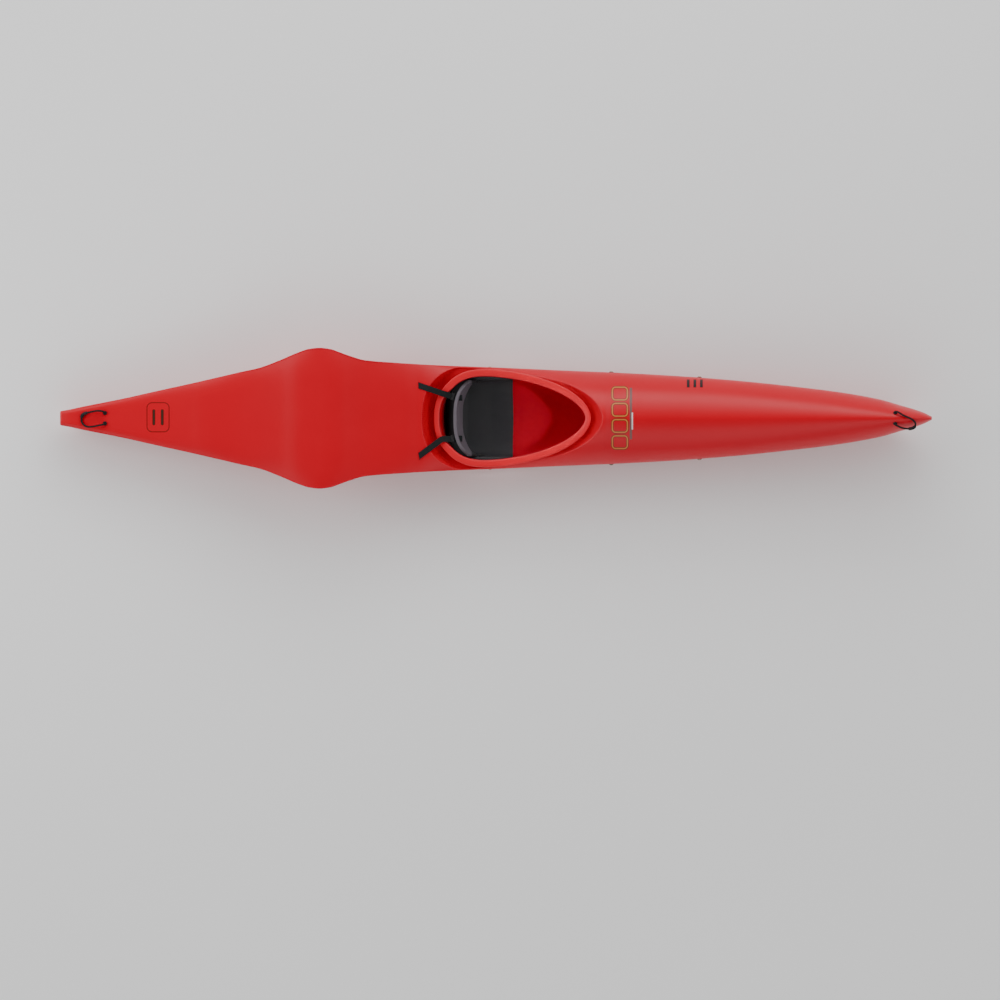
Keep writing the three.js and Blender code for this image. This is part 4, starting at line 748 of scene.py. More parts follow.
def mottle_group():
    """Slow variation of a colour over a surface, with a finer one in it."""
    sockets = {
        "Vector": (VECTOR, None), "Colour": (COLOUR, None), "Scale": (FLOAT, 4.0),
        "Amount": (FLOAT, 0.1),
    }
    group, tree, inputs, outputs = node_group("mottle", sockets, {"Colour": COLOUR})
    broad = tree.noise(inputs["Vector"], inputs["Scale"], 3.0)
    fine = tree.noise(inputs["Vector"], tree.math("MULTIPLY", inputs["Scale"], 9.0), 4.0)
    both = tree.math("ADD", tree.math("MULTIPLY", broad, 0.7), tree.math("MULTIPLY", fine, 0.3))
    swing = tree.math("MULTIPLY", tree.math("SUBTRACT", both, 0.5), inputs["Amount"])
    level = tree.math("ADD", 1.0, tree.math("MULTIPLY", swing, 2.0))
    shade = tree.node("ShaderNodeCombineColor", {0: level, 1: level, 2: level}).outputs[0]
    tree.feed(outputs["Colour"], tree.colour(1.0, inputs["Colour"], shade, "MULTIPLY"))
    return group


def grain_group():
    """Fine moulded grain: a height and a roughness that follow the same noise."""
    sockets = {
        "Vector": (VECTOR, None), "Scale": (FLOAT, 300.0), "Roughness": (FLOAT, 0.4),
        "Swing": (FLOAT, 0.1),
    }
    results = {"Height": FLOAT, "Roughness": FLOAT}
    group, tree, inputs, outputs = node_group("grain", sockets, results)
    cells = tree.noise(inputs["Vector"], inputs["Scale"], 3.0, 0.6)
    slow = tree.noise(inputs["Vector"], tree.math("MULTIPLY", inputs["Scale"], 0.05), 2.0)
    swing = tree.math("MULTIPLY", tree.math("SUBTRACT", slow, 0.5), inputs["Swing"])
    tree.feed(outputs["Height"], cells)
    tree.feed(outputs["Roughness"], tree.math("ADD", inputs["Roughness"], swing))
    return group


def weave_group():
    """Crossing threads over a vector's X and Y, with ribs along Y."""
    sockets = {
        "Vector": (VECTOR, None), "Across": (FLOAT, 12.0), "Along": (FLOAT, 40.0),
        "Slant": (FLOAT, 0.0),
    }
    results = {"Height": FLOAT, "Mask": FLOAT}
    group, tree, inputs, outputs = node_group("weave", sockets, results)
    parts = tree.node("ShaderNodeSeparateXYZ", {0: inputs["Vector"]}).outputs
    slanted = tree.math("ADD", parts[1], tree.math("MULTIPLY", parts[0], inputs["Slant"]))
    across = tree.math("MULTIPLY", parts[0], tree.math("MULTIPLY", inputs["Across"], 2 * math.pi))
    along = tree.math("MULTIPLY", slanted, tree.math("MULTIPLY", inputs["Along"], 2 * math.pi))
    checks = tree.math("MULTIPLY", tree.math("SINE", across), tree.math("SINE", along))
    ribs = tree.math("ABSOLUTE", tree.math("SINE", along))
    height = tree.math("ADD", tree.math("MULTIPLY", checks, 0.5), tree.math("MULTIPLY", ribs, 0.5))
    tree.feed(outputs["Height"], height)
    tree.feed(outputs["Mask"], tree.range(checks, -0.6, 0.6))
    return group


def mark_group():
    """Distance from the edge of a rounded rectangle on the deck, below zero inside it."""
    sockets = {
        "Vector": (VECTOR, None), "Centre": (VECTOR, None), "Half Size": (VECTOR, None),
        "Corner": (FLOAT, 0.01),
    }
    group, tree, inputs, outputs = node_group("rounded_mark", sockets, {"Distance": FLOAT})
    away = tree.vector("ABSOLUTE", tree.vector("SUBTRACT", inputs["Vector"], inputs["Centre"]))
    corner = tree.node("ShaderNodeCombineXYZ", {0: inputs["Corner"], 1: inputs["Corner"]}).outputs[0]
    past = tree.vector("ADD", tree.vector("SUBTRACT", away, inputs["Half Size"]), corner)
    parts = tree.node("ShaderNodeSeparateXYZ", {0: past}).outputs
    outer = [tree.math("MAXIMUM", parts[axis], 0.0) for axis in (0, 1)]
    squares = tree.math("ADD", tree.math("POWER", outer[0], 2.0), tree.math("POWER", outer[1], 2.0))
    inside = tree.math("MINIMUM", tree.math("MAXIMUM", parts[0], parts[1]), 0.0)
    total = tree.math("ADD", tree.math("SQRT", squares), inside)
    tree.feed(outputs["Distance"], tree.math("SUBTRACT", total, inputs["Corner"]))
    return group


MOTTLE, GRAIN, WEAVE, MARK = mottle_group(), grain_group(), weave_group(), mark_group()


def new_material(name, levels):
    """A material with its shader set to fixed levels, its Tree and its texture coordinates."""
    material = bpy.data.materials.new(name)
    material.use_nodes = True
    tree = Tree(material.node_tree)
    shader = material.node_tree.nodes["Principled BSDF"]
    for key, value in levels.items():
        shader.inputs[key].default_value = value
    place = tree.node("ShaderNodeTexCoord").outputs
    return material, tree, shader, place


def mottled(tree, place, colour, scale, amount):
    inputs = {"Vector": place["Object"], "Colour": colour, "Scale": scale, "Amount": amount}
    return tree.group(MOTTLE, inputs)["Colour"]


def grained(tree, place, scale, roughness, swing):
    inputs = {"Vector": place["Object"], "Scale": scale, "Roughness": roughness, "Swing": swing}
    return tree.group(GRAIN, inputs)


def woven(tree, vector, across, along, slant=0.0):
    inputs = {"Vector": vector, "Across": across, "Along": along, "Slant": slant}
    return tree.group(WEAVE, inputs)


def bumped(tree, shader, height, strength, distance):
    inputs = {"Height": height, "Strength": strength, "Distance": distance}
    tree.feed(shader.inputs["Normal"], tree.node("ShaderNodeBump", inputs).outputs[0])


def moulded(name, colour, roughness, grain, bump=0.25, gloss=0.5):
    """A moulded or cast surface: a mottled colour with fine grain in its height and gloss."""
    material, tree, shader, place = new_material(name, {"Specular IOR Level": gloss})
    fine = grained(tree, place, grain, roughness, 0.25)
    tree.feed(shader.inputs["Base Color"], mottled(tree, place, colour, 9.0, 0.15))
    tree.feed(shader.inputs["Roughness"], fine["Roughness"])
    bumped(tree, shader, fine["Height"], bump, MOULD_GRAIN_DEPTH)
    return material


# Colours, as linear values

RED = (0.60, 0.0003, 0.013, 1)
RED_INSIDE = (0.70, 0.0004, 0.025, 1)
# A lighter, pinker red for the coaming's lip: a painted highlight
RED_RIM_PAINTED_HIGHLIGHT = (0.72, 0.012, 0.024, 1)
# A darker red for the coaming's wall inside the opening: painted shade
RED_WALL_PAINTED_SHADE = (0.34, 0.0004, 0.006, 1)
MARK_ORANGE = (0.60, 0.19, 0.045, 1)
MARK_DARK = (0.055, 0.020, 0.012, 1)
MARK_BLACK = (0.012, 0.006, 0.006, 1)
MARK_GREY = (0.19, 0.085, 0.08, 1)
MARK_WHITE = (0.75, 0.70, 0.70, 1)
CLOTH_DARK = (0.12, 0.0, 0.004, 1)
WEBBING_BLACK = (0.008, 0.011, 0.0115, 1)
# A lighter grey painted on the webbing's raised threads: a painted highlight
WEBBING_THREAD_HIGHLIGHT = (0.020, 0.024, 0.025, 1)
ROPE_BLACK = (0.010, 0.010, 0.011, 1)
# A lighter colour painted on the rope's raised strands: a painted highlight
ROPE_STRAND_HIGHLIGHT = (0.024, 0.018, 0.017, 1)
FOAM_GREY = (0.05, 0.052, 0.058, 1)
FOAM_DARK = (0.012, 0.012, 0.014, 1)
FLOOR_WHITE = (0.93, 0.93, 0.93, 1)

# Plain marks on the deck: [middle x, middle y, half length, half width, corner radius]

FORE_BARS = [[0.527, y, 0.032, 0.027, 0.014] for y in (0.105, 0.036, -0.033, -0.102)]
FORE_STRIPE = [0.574, 0.020, 0.0055, 0.110, 0.002]
FORE_STRIPE_LIGHT = [0.580, -0.012, 0.0028, 0.036, 0.001]
REAR_FRAME = [-1.438, 0.004, 0.047, 0.062, 0.022]
REAR_BARS = [[x, 0.004, 0.006, 0.034, 0.006] for x in (-1.456, -1.420)]
SIDE_BARS = [[x, 0.148, 0.006, 0.017, 0.001] for x in (0.818, 0.846, 0.874)]
OUTLINE_DARK = 0.0052
OUTLINE_ORANGE = 0.0030
OUTLINE_THIN = 0.0016
MARK_SOFTNESS = 0.0006

# Depths of the finishes' relief

MOULD_GRAIN_DEPTH = 0.0002
SHELL_GRAIN_DEPTH = 0.0003
WEBBING_DEPTH = 0.0006
BRAID_DEPTH = 0.0008
BRUSHED_DEPTH = 0.0001
FOAM_DEPTH = 0.001


def shell_material(name, marked, paint=RED):
    """Glossy red shell with a faint orange peel, and the deck's plain marks where asked."""
    material, tree, shader, place = new_material(name, {"Specular IOR Level": 0.28})
    colour = mottled(tree, place, paint, 1.7, 0.07)
    peel = grained(tree, place, 160.0, 0.34, 0.08)

    def distance_to(mark):
        x, y, half_x, half_y, corner = mark
        inputs = {"Vector": place["Object"], "Centre": (x, y, 0), "Half Size": (half_x, half_y, 1)}
        return tree.group(MARK, {**inputs, "Corner": corner})["Distance"]

    def nearest(marks):
        found = distance_to(marks[0])
        for mark in marks[1:]:
            found = tree.math("MINIMUM", found, distance_to(mark))
        return found

    def painted(base, distance, reach, tint):
        share = tree.range(distance, reach - MARK_SOFTNESS, reach + MARK_SOFTNESS, 1.0, 0.0)
        return tree.colour(share, base, tint)

    if marked:
        fore = tree.math("ABSOLUTE", nearest(FORE_BARS))
        rear = tree.math("ABSOLUTE", distance_to(REAR_FRAME))
        for distance, reach, tint in (
            (distance_to(FORE_STRIPE), 0.0, MARK_GREY),
            (distance_to(FORE_STRIPE_LIGHT), 0.0, MARK_WHITE),
            (fore, OUTLINE_DARK, MARK_DARK), (fore, OUTLINE_ORANGE, MARK_ORANGE),
            (rear, OUTLINE_THIN, MARK_DARK), (nearest(REAR_BARS), 0.0, MARK_DARK),
            (nearest(SIDE_BARS), 0.0, MARK_BLACK),
        ):
            colour = painted(colour, distance, reach, tint)
    tree.feed(shader.inputs["Base Color"], colour)
    tree.feed(shader.inputs["Roughness"], peel["Roughness"])
    bumped(tree, shader, peel["Height"], 0.08, SHELL_GRAIN_DEPTH)
    return material


def inside_material():
    """The shells' inner face: dull laminate with the cloth's weave showing faintly."""
    levels = {"Roughness": 0.6, "Specular IOR Level": 0.15}
    material, tree, shader, place = new_material("shell_inside", levels)
    toned = mottled(tree, place, RED_INSIDE, 5.0, 0.22)
    threads = woven(tree, place["Object"], 160.0, 160.0)
    shade = tree.colour(tree.math("MULTIPLY", threads["Mask"], 0.12), toned, CLOTH_DARK)
    tree.feed(shader.inputs["Base Color"], shade)
    bumped(tree, shader, threads["Height"], 0.12, SHELL_GRAIN_DEPTH)
    return material


def webbing_material(across, along):
    """Flat webbing, with its threads on the strap's own UV map and a lighter colour painted on the
    raised threads as a highlight.
    """
    levels = {"Roughness": 0.85, "Sheen Weight": 0.04, "Specular IOR Level": 0.2}
    material, tree, shader, place = new_material("strap_webbing", levels)
    threads = woven(tree, place["UV"], across, along)
    toned = mottled(tree, place, WEBBING_BLACK, 30.0, 0.3)
    lit = tree.colour(tree.math("MULTIPLY", threads["Mask"], 0.5), toned, WEBBING_THREAD_HIGHLIGHT)
    tree.feed(shader.inputs["Base Color"], lit)
    bumped(tree, shader, threads["Height"], 0.7, WEBBING_DEPTH)
    return material


def rope_material(strands):
    """Braided rope: two weaves that slant against each other on the rope's UV map, with a lighter
    colour painted on the raised strands as a highlight.
    """
    levels = {"Roughness": 0.75, "Specular IOR Level": 0.2}
    material, tree, shader, place = new_material("loop_rope", levels)
    lays = [woven(tree, place["UV"], strands, strands, slant)["Height"] for slant in (1.0, -1.0)]
    braid = tree.math("MAXIMUM", *lays)
    lit = tree.colour(tree.math("MULTIPLY", braid, 0.6), ROPE_BLACK, ROPE_STRAND_HIGHLIGHT)
    tree.feed(shader.inputs["Base Color"], lit)
    bumped(tree, shader, braid, 0.9, BRAID_DEPTH)
    return material


def brushed_material(name, colour, roughness, stretch):
    """Bare metal with fine streaks, drawn out along an axis where its stretch is unequal."""
    material, tree, shader, place = new_material(name, {"Metallic": 1.0})
    lines = tree.node("ShaderNodeMapping", {"Vector": place["Object"], "Scale": stretch}).outputs[0]
    streaks = tree.noise(lines, 60.0, 4.0, 0.7)
    rough = tree.range(streaks, 0.3, 0.7, roughness - 0.08, roughness + 0.1)
    tree.feed(shader.inputs["Base Color"], mottled(tree, place, colour, 40.0, 0.2))
    tree.feed(shader.inputs["Roughness"], rough)
    bumped(tree, shader, streaks, 0.2, BRUSHED_DEPTH)
    return material


def foam_material():
    """Closed-cell foam, darker towards the edges of its cells."""
    material, tree, shader, place = new_material("foam_cells", {"Roughness": 0.95})
    inputs = {"Vector": place["Object"], "Scale": 420.0}
    cells = tree.node("ShaderNodeTexVoronoi", inputs).outputs["Distance"]
    toned = mottled(tree, place, FOAM_GREY, 12.0, 0.3)
    shade = tree.colour(tree.range(cells, 0.2, 0.7, 0.0, 0.5), toned, FOAM_DARK)
    tree.feed(shader.inputs["Base Color"], shade)
    bumped(tree, shader, cells, 0.8, FOAM_DEPTH)
    return material


DECK_RED = shell_material("deck_red", marked=True)
HULL_RED = shell_material("hull_red", marked=False)
COAMING_PAINTED_HIGHLIGHT = shell_material("coaming_painted_highlight", marked=False, paint=RED_RIM_PAINTED_HIGHLIGHT)
COAMING_WALL_PAINTED_SHADE = shell_material("coaming_wall_painted_shade", marked=False, paint=RED_WALL_PAINTED_SHADE)
INSIDE_RED = inside_material()
SEAT_BLACK = moulded("seat_plastic", (0.034, 0.034, 0.037, 1), 0.6, 420.0, bump=0.35, gloss=0.2)
BAND_GREY = moulded("band_plastic", (0.115, 0.100, 0.118, 1), 0.5, 380.0, bump=0.2, gloss=0.4)
# A near-black copy of the band's plastic for its ends and tabs: painted shade
TAB_PAINTED_SHADE = moulded("tab_painted_shade", (0.020, 0.019, 0.021, 1), 0.5, 380.0, bump=0.2, gloss=0.3)
BUCKLE_BLACK = moulded("buckle_plastic", (0.014, 0.013, 0.014, 1), 0.45, 500.0, gloss=0.3)
RUBBER_BLACK = moulded("washer_rubber", (0.012, 0.010, 0.010, 1), 0.7, 600.0, bump=0.5)
SLEEVE_BLACK = moulded("rope_sleeve", (0.010, 0.009, 0.010, 1), 0.55, 500.0, gloss=0.25)
PEDAL_BLACK = moulded("pedal_plastic", (0.016, 0.016, 0.017, 1), 0.55, 260.0, bump=0.5)
SCREW_STEEL = brushed_material("screw_steel", (0.60, 0.54, 0.43, 1), 0.32, (1, 1, 1))
SCREW_DARK = brushed_material("screw_dark", (0.07, 0.065, 0.06, 1), 0.45, (1, 1, 1))
RAIL_ALUMINIUM = brushed_material("rail_aluminium", (0.46, 0.47, 0.49, 1), 0.34, (0.05, 6, 6))
WEBBING = webbing_material(9.0, 5.0)
ROPE = rope_material(4.0)
FOAM = foam_material()


# Camera, floor and light

def set_stage():
    """The camera over the boat and the white floor under it."""
    data = bpy.data.cameras.new("camera")
    data.type = "ORTHO"
    data.ortho_scale = PICTURE_SPAN
    camera = bpy.data.objects.new("camera", data)
    camera.location = (*PICTURE_CENTRE, CAMERA_HEIGHT)
    bpy.context.scene.collection.objects.link(camera)
    bpy.context.scene.camera = camera

    material, tree, shader, place = new_material("floor_white", {"Roughness": 0.9})
    tree.feed(shader.inputs["Base Color"], mottled(tree, place, FLOOR_WHITE, 0.6, 0.02))
    half = FLOOR_SIZE / 2
    corners = [(side_x * half, side_y * half, FLOOR_HEIGHT)
               for side_x, side_y in ((-1, -1), (1, -1), (1, 1), (-1, 1))]
    mesh_object("floor", corners, [(0, 1, 2, 3)], [material], smooth=False)


def soft_light(name, place, target, sizes, power, spread):
    """A rectangular lamp at a place, turned to its target."""
    data = bpy.data.lights.new(name, "AREA")
    data.shape = "RECTANGLE"
    data.size, data.size_y = sizes
    data.energy = power
    data.spread = math.radians(spread)
    light = bpy.data.objects.new(name, data)
    light.location = place
    direction = Vector(target) - Vector(place)
    light.rotation_euler = direction.to_track_quat("-Z", "Y").to_euler()
    bpy.context.scene.collection.objects.link(light)


def light_studio():
    """A dome that is brightest in a band above the horizon, with three soft lamps."""
    world = bpy.data.worlds.new("studio")
    bpy.context.scene.world = world
    world.use_nodes = True
    tree = Tree(world.node_tree)
    background = world.node_tree.nodes["Background"]
    direction = tree.node("ShaderNodeTexCoord").outputs["Generated"]
    parts = tree.node("ShaderNodeSeparateXYZ", {0: direction}).outputs
    band = tree.colour(tree.range(parts[1], *DOME_ACROSS), WORLD_BAND_STARBOARD, WORLD_BAND_PORT)
    low = tree.colour(tree.range(parts[2], *DOME_BAND_STARTS), WORLD_HORIZON, band)
    sky = tree.colour(tree.range(parts[2], *DOME_BAND_ENDS), low, WORLD_ZENITH)
    tree.feed(background.inputs["Color"], sky)
    for lamp in STUDIO_LAMPS:
        soft_light(*lamp)


set_stage()
light_studio()


# Places of what is fastened to the shells

def deck_place(x, y):
    """A point of the deck's outer face and the direction out of it."""
    step = SLOPE_STEP
    height = float(deck_top(x, y))
    along = float(deck_top(x + step, y) - deck_top(x - step, y)) / (2 * step)
    across = float(deck_top(x, y + step) - deck_top(x, y - step)) / (2 * step)
    return Vector((x, y, height)), Vector((-along, -across, 1)).normalized()


def hull_place(x, height, side):
    """A point of the hull's outer face at a height, and the direction out of it."""
    step = SLOPE_STEP
    width = hull_width_at(x, height)
    along = (hull_width_at(x + step, height) - hull_width_at(x - step, height)) / (2 * step)
    up = (hull_width_at(x, height + step) - hull_width_at(x, height - step)) / (2 * step)
    return Vector((x, side * width, height)), Vector((-along, side, -up)).normalized()


SIDES = (1, -1)
SIDE_LABELS = {1: "left", -1: "right"}
STERN_LOOP_X = at_place(0) + STERN_LOOP_SETBACK
BOW_LOOP_X = at_place(1) - BOW_LOOP_SETBACK
ROPE_TURN = FIT_GAP * 2 + EYELET_HEIGHT + ROPE_RADIUS


# Grab loops

def rope_ends(x):
    """Where the rope turns over its two eyelets, on the line that the loop swings about."""
    ends = []
    for side in SIDES:
        point, outward = deck_place(x, side * ANCHOR_SPREAD / 2)
        ends.append(point + outward * ROPE_TURN)
    return ends


def loop_path(x, reach_sign, route):
    """The rope's middle line from eyelet to eyelet, through the points of its route."""
    port, starboard = rope_ends(x)
    crown = float(crown_height(x))
    between = [(x + reach_sign * reach, across, crown + height) for reach, across, height in route]
    return smooth_path([tuple(port), *between, tuple(starboard)], LOOP_POINTS)


def grab_loop(end, x, reach_sign, route, sleeve_span):
    """The rope of one grab loop with the sleeve that covers its joint."""
    path = loop_path(x, reach_sign, route)
    rope = tube_mesh(f"{end}_rope", path, ROPE_RADIUS, ROPE_SIDES, [ROPE])
    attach(rope, f"{end}_loop")
    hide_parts(f"{end}_grab_loop")
    covered = path[slice(*sleeve_span)]
    radius = ROPE_RADIUS * SLEEVE_RADIUS_SHARE
    sleeve = tube_mesh(f"{end}_rope_sleeve", covered, radius, SLEEVE_SIDES, [SLEEVE_BLACK])
    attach(sleeve, f"{end}_loop")


grab_loop("stern", STERN_LOOP_X, -1, STERN_LOOP_ROUTE, STERN_SLEEVE_SPAN)
grab_loop("bow", BOW_LOOP_X, 1, BOW_LOOP_ROUTE, BOW_SLEEVE_SPAN)


# Shells

COCKPIT_STATIONS = (-0.40, 0.56)
STATION_STEP = 0.014
CREASE_STEPS = 96
RING_ROWS = 48
RING_SAMPLES = 260
RING_BEND_WEIGHT = 0.02
RING_EDGE_POWER = 8
RING_CURVE_POINTS = 6000
HAIR = 1e-6
DECK_COLUMNS = 44
HULL_COLUMNS = 34
STEM_STATIONS = 26
STEM_REACH = 0.14
COAMING_COLUMNS = 260
# The rim's wall, which gets the darker red of painted shade, ends where the lip starts: shares of the
# wall's and of the lip's thickness
RIM_WALL_REACH_SHARE = 1.01
RIM_WALL_TOP_SHARE = 0.35


def stations():
    """Places of sections along the boat, closer together at the stem."""
    stern, stem = at_place(0) + END_ROUND, at_place(1) - END_ROUND
    aft, fore = COCKPIT_STATIONS
    count = round((fore - aft) / STATION_STEP)
    return np.concatenate([
        np.arange(stern, aft - STATION_STEP / 2, STATION_STEP),
        np.linspace(aft, fore, count + 1),
        np.arange(fore + STATION_STEP, stem - STEM_REACH - STATION_STEP / 2, STATION_STEP),
        stem - STEM_REACH * np.linspace(1, 0, STEM_STATIONS) ** 2,
    ])


def rounded_end(x, y, z, reach_sign):
    """Rows that round off a section at the boat's end and close it, from the section outwards."""
    rows = []
    middle, level = (y[0] + y[-1]) / 2, z[0]
    half, height = np.abs(y - middle).max(), np.abs(z - level).max()
    profile = crown_height if z.mean() > level else keel_height
    for share in END_TURN_SHARES:
        inset = END_ROUND * (1 - math.cos(share * math.pi / 2))
        out = reach_sign * END_ROUND * math.sin(share * math.pi / 2)
        left = float((profile(x + out) - level) / (profile(x) - level))
        narrowed = max(1 - inset / half, END_LEAST_SHARE)
        lowered = max(min(1 - inset / height, left), END_LEAST_SHARE)
        rows.append((x + out, middle + (y - middle) * narrowed, level + (z - level) * lowered))
    end_x, end_y, end_z = rows[-1]
    for share in END_CLOSING_SHARES:
        rows.append((end_x, mix(middle, end_y, share), mix(level, end_z, share)))
    return rows


def sheet_rows(sections, ends):
    """A sheet's rows of points from its sections, with the named ends rounded off."""
    rows = sections
    if -1 in ends:
        rows = [*reversed(rounded_end(*sections[0], -1)), *rows]
    if 1 in ends:
        rows = [*rows, *rounded_end(*sections[-1], 1)]
    return np.array([[(x, y, z) for y, z in zip(ys, zs)] for x, ys, zs in rows])


def whole_section(x, y, z, columns):
    """A section from starboard to port, evenly divided, from the curve of its port half."""
    half = evenly(np.stack([y, z], 1), columns + 1)
    whole = np.concatenate([half[:0:-1] * (-1, 1), half])
    return x, whole[:, 0], whole[:, 1]


def hull_section(x):
    y, z = hull_curve(x, np.linspace(0, 1, SECTION_SAMPLES))
    y, z = np.concatenate([[0], y]), np.concatenate([z[:1], z])
    z[-1] = crease_height(x) - FIT_GAP / 2
    return whole_section(x, y, z, HULL_COLUMNS)


def deck_section(x):
    """A section of the deck away from the cockpit."""
    y = half_beam(x) * np.sin(np.linspace(0, math.pi / 2, SECTION_SAMPLES))
    z = crown_curve(x, y)
    z[-1] = crease_height(x) + FIT_GAP / 2
    return whole_section(x, y, z, DECK_COLUMNS)


def shell(name, points, faces, outer_red):
    """A shell from its outer sheet: the wall inwards, with the inner finish on its inner face."""
    made = mesh_object(name, points, faces, [outer_red, INSIDE_RED])
    thickened(made, WALL, material_offset=1, material_offset_rim=0)
    return finished(made)


def hull():
    rows = sheet_rows([hull_section(x) for x in stations()], (-1, 1))
    return shell("hull", rows.reshape(-1, 3), grid_faces(*rows.shape[:2]), HULL_RED)


def ring_line(goal, outline):
    """Points of the deck from the opening's edge out to a point of the boundary round the cockpit."""
    away = goal[:2] - outline
    edge = outline[np.argmin((away ** 2).sum(1))]
    length = float(np.linalg.norm(goal[:2] - edge))
    outward = (goal[:2] - edge) / length
    gap = COAMING_WALL + FIT_GAP
    distance = mix(gap, length, np.sin(np.linspace(0, math.pi / 2, RING_SAMPLES)))
    x, y = (edge[:, None] + outward[:, None] * distance)
    z = sunk_deck(x, y, distance, (1 + outward[0]) / 2)
    z = z + (goal[2] - z[-1]) * (distance / length) ** RING_EDGE_POWER
    steps = np.hypot(np.diff(distance), np.diff(z))
    slope = np.arctan2(np.diff(z), np.diff(distance))
    turning = np.concatenate([[0], np.abs(np.diff(slope))])
    ways = np.concatenate([[0], np.cumsum(steps + RING_BEND_WEIGHT * turning)])
    goals = np.linspace(0, ways[-1], RING_ROWS)
    return np.stack([np.interp(goals, ways, values) for values in (x, y, z)], 1)


def crease_line(side, xs):
    """Points of the deck's lower edge on one side."""
    return [(x, side * half_beam(x), crease_height(x) + FIT_GAP / 2) for x in xs]


def deck():
    """The deck: plain sections fore and aft of rings that follow the cockpit's edge."""
    aft, fore = COCKPIT_STATIONS
    sections = [deck_section(x) for x in stations() if not aft + HAIR < x < fore - HAIR]
    split = sum(x < 0 for x, _, _ in sections)
    behind = sheet_rows(sections[:split], (-1,))
    ahead = sheet_rows(sections[split:], (1,))
    columns = behind.shape[1]
    points = [*behind.reshape(-1, 3), *ahead.reshape(-1, 3)]
    faces = [tuple(reversed(face)) for face in grid_faces(*behind.shape[:2])]
    start_ahead = behind.shape[0] * columns
    faces += [tuple(start_ahead + v for v in reversed(face)) for face in grid_faces(*ahead.shape[:2])]

    last_behind = start_ahead - columns
    crease_xs = np.linspace(aft, fore, CREASE_STEPS + 1)[1:-1]
    boundary = [start_ahead + c for c in range(columns)]
    boundary += range(len(points), len(points) + len(crease_xs))
    points += crease_line(1, crease_xs[::-1])
    boundary += [last_behind + c for c in reversed(range(columns))]
    boundary += range(len(points), len(points) + len(crease_xs))
    points += crease_line(-1, crease_xs)

    outline, _ = cockpit_outline(RING_CURVE_POINTS)
    rings = np.array([ring_line(np.array(points[v], float), outline) for v in boundary])
    count, start = len(boundary), len(points)
    inner = RING_ROWS - 1
    points += list(rings[:, :inner].transpose(1, 0, 2).reshape(-1, 3))
    ring_ids = [[start + row * count + i for i in range(count)] for row in range(inner)] + [boundary]
    for near, far in zip(ring_ids, ring_ids[1:]):
        for i in range(count):
            j = (i + 1) % count
            faces.append((near[i], far[i], far[j], near[j]))
    return shell("deck", points, faces, DECK_RED)


def coaming():
    """The rim: a wall in the opening that turns out into a softly crowned lip."""
    points, outward = cockpit_outline(COAMING_COLUMNS)
    under = -LIP_THICKNESS - LIP_TURN_DOWN
    section = [
        (0, -COAMING_HEIGHT - COAMING_TAIL), (COAMING_WALL, -COAMING_HEIGHT - COAMING_TAIL),
        (COAMING_WALL, -2.4 * LIP_THICKNESS), (1.25 * COAMING_WALL, -1.6 * LIP_THICKNESS),
        (1.8 * COAMING_WALL, -1.1 * LIP_THICKNESS), (2.6 * COAMING_WALL, -LIP_THICKNESS),
        (LIP_WIDTH - COAMING_WALL, -LIP_THICKNESS), (LIP_WIDTH - 0.8 * COAMING_WALL, under),
        (LIP_WIDTH - 0.4 * COAMING_WALL, under), (LIP_WIDTH, under + 0.3 * LIP_THICKNESS),
        (LIP_WIDTH, -0.8 * LIP_THICKNESS), (LIP_WIDTH - 0.2 * LIP_THICKNESS, -0.4 * LIP_THICKNESS),
        (LIP_WIDTH - 0.8 * LIP_THICKNESS, -0.1 * LIP_THICKNESS),
        (0.7 * LIP_WIDTH, 0), (0.4 * LIP_WIDTH, 0), (1.2 * COAMING_WALL, -0.1 * LIP_THICKNESS),
        (0.5 * COAMING_WALL, -0.4 * LIP_THICKNESS), (0.1 * COAMING_WALL, -LIP_THICKNESS),
        (0, -2 * LIP_THICKNESS),
    ]
    front = (1 + outward[:, 0]) / 2
    aft = rearness(points[:, 1], front)
    taper = LIP_FRONT_TAPER * smooth_step((front - LIP_TAPER_START) / (1 - LIP_TAPER_START))
    rows = []
    for distance, height in section:
        climb = np.clip(1 + height / COAMING_HEIGHT, 0, 1)
        across = np.clip(distance / (LIP_WIDTH - COAMING_WALL), 0, 1)
        lean = aft * climb * mix(REAR_LEAN, REAR_LIP_SHIFT, across)
        reach = distance * (1 - taper * across) + lean
        place = points + outward * reach[:, None]
        rows.append(np.column_stack([place, rim_height(place[:, 0]) + height]))
    faces = grid_faces(len(rows), COAMING_COLUMNS, closed_across=True, closed_along=True)
    # The lip gets the lighter, pinker red of a painted highlight
    made = mesh_object("coaming", np.concatenate(rows), faces, [COAMING_PAINTED_HIGHLIGHT, COAMING_WALL_PAINTED_SHADE])
    # The wall's faces get the darker red of painted shade
    wall_reach = RIM_WALL_REACH_SHARE * COAMING_WALL
    wall_top = -RIM_WALL_TOP_SHARE * LIP_THICKNESS
    on_wall = [distance <= wall_reach and height < wall_top for distance, height in section]
    for index, face in enumerate(made.data.polygons):
        face.material_index = int(on_wall[index // COAMING_COLUMNS])
    face_outwards(made)
    return made


DECK_NODES = [f"deck_{length}" for length in ("aft", "cockpit", "fore", "bow")]


def add_shells():
    """The hull, the deck and the coaming."""
    shells = [(hull(), ["hull_shell"]), (deck(), DECK_NODES), (coaming(), ["cockpit_coaming"])]
    for made, nodes in shells:
        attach(made, "root")
        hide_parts(*nodes)


add_shells()


# Seat

seat_pan_share = curve_through(SEAT_PAN_SHARES)
seat_cheek_share = curve_through(SEAT_CHEEK_SHARES)
seat_curve_share = curve_through(SEAT_CURVE_SHARES)
SEAT_ROWS = 44
SEAT_COLUMNS = 30
SEAT_SAMPLES = 60
SEAT_CORNER_SHARE = 0.3


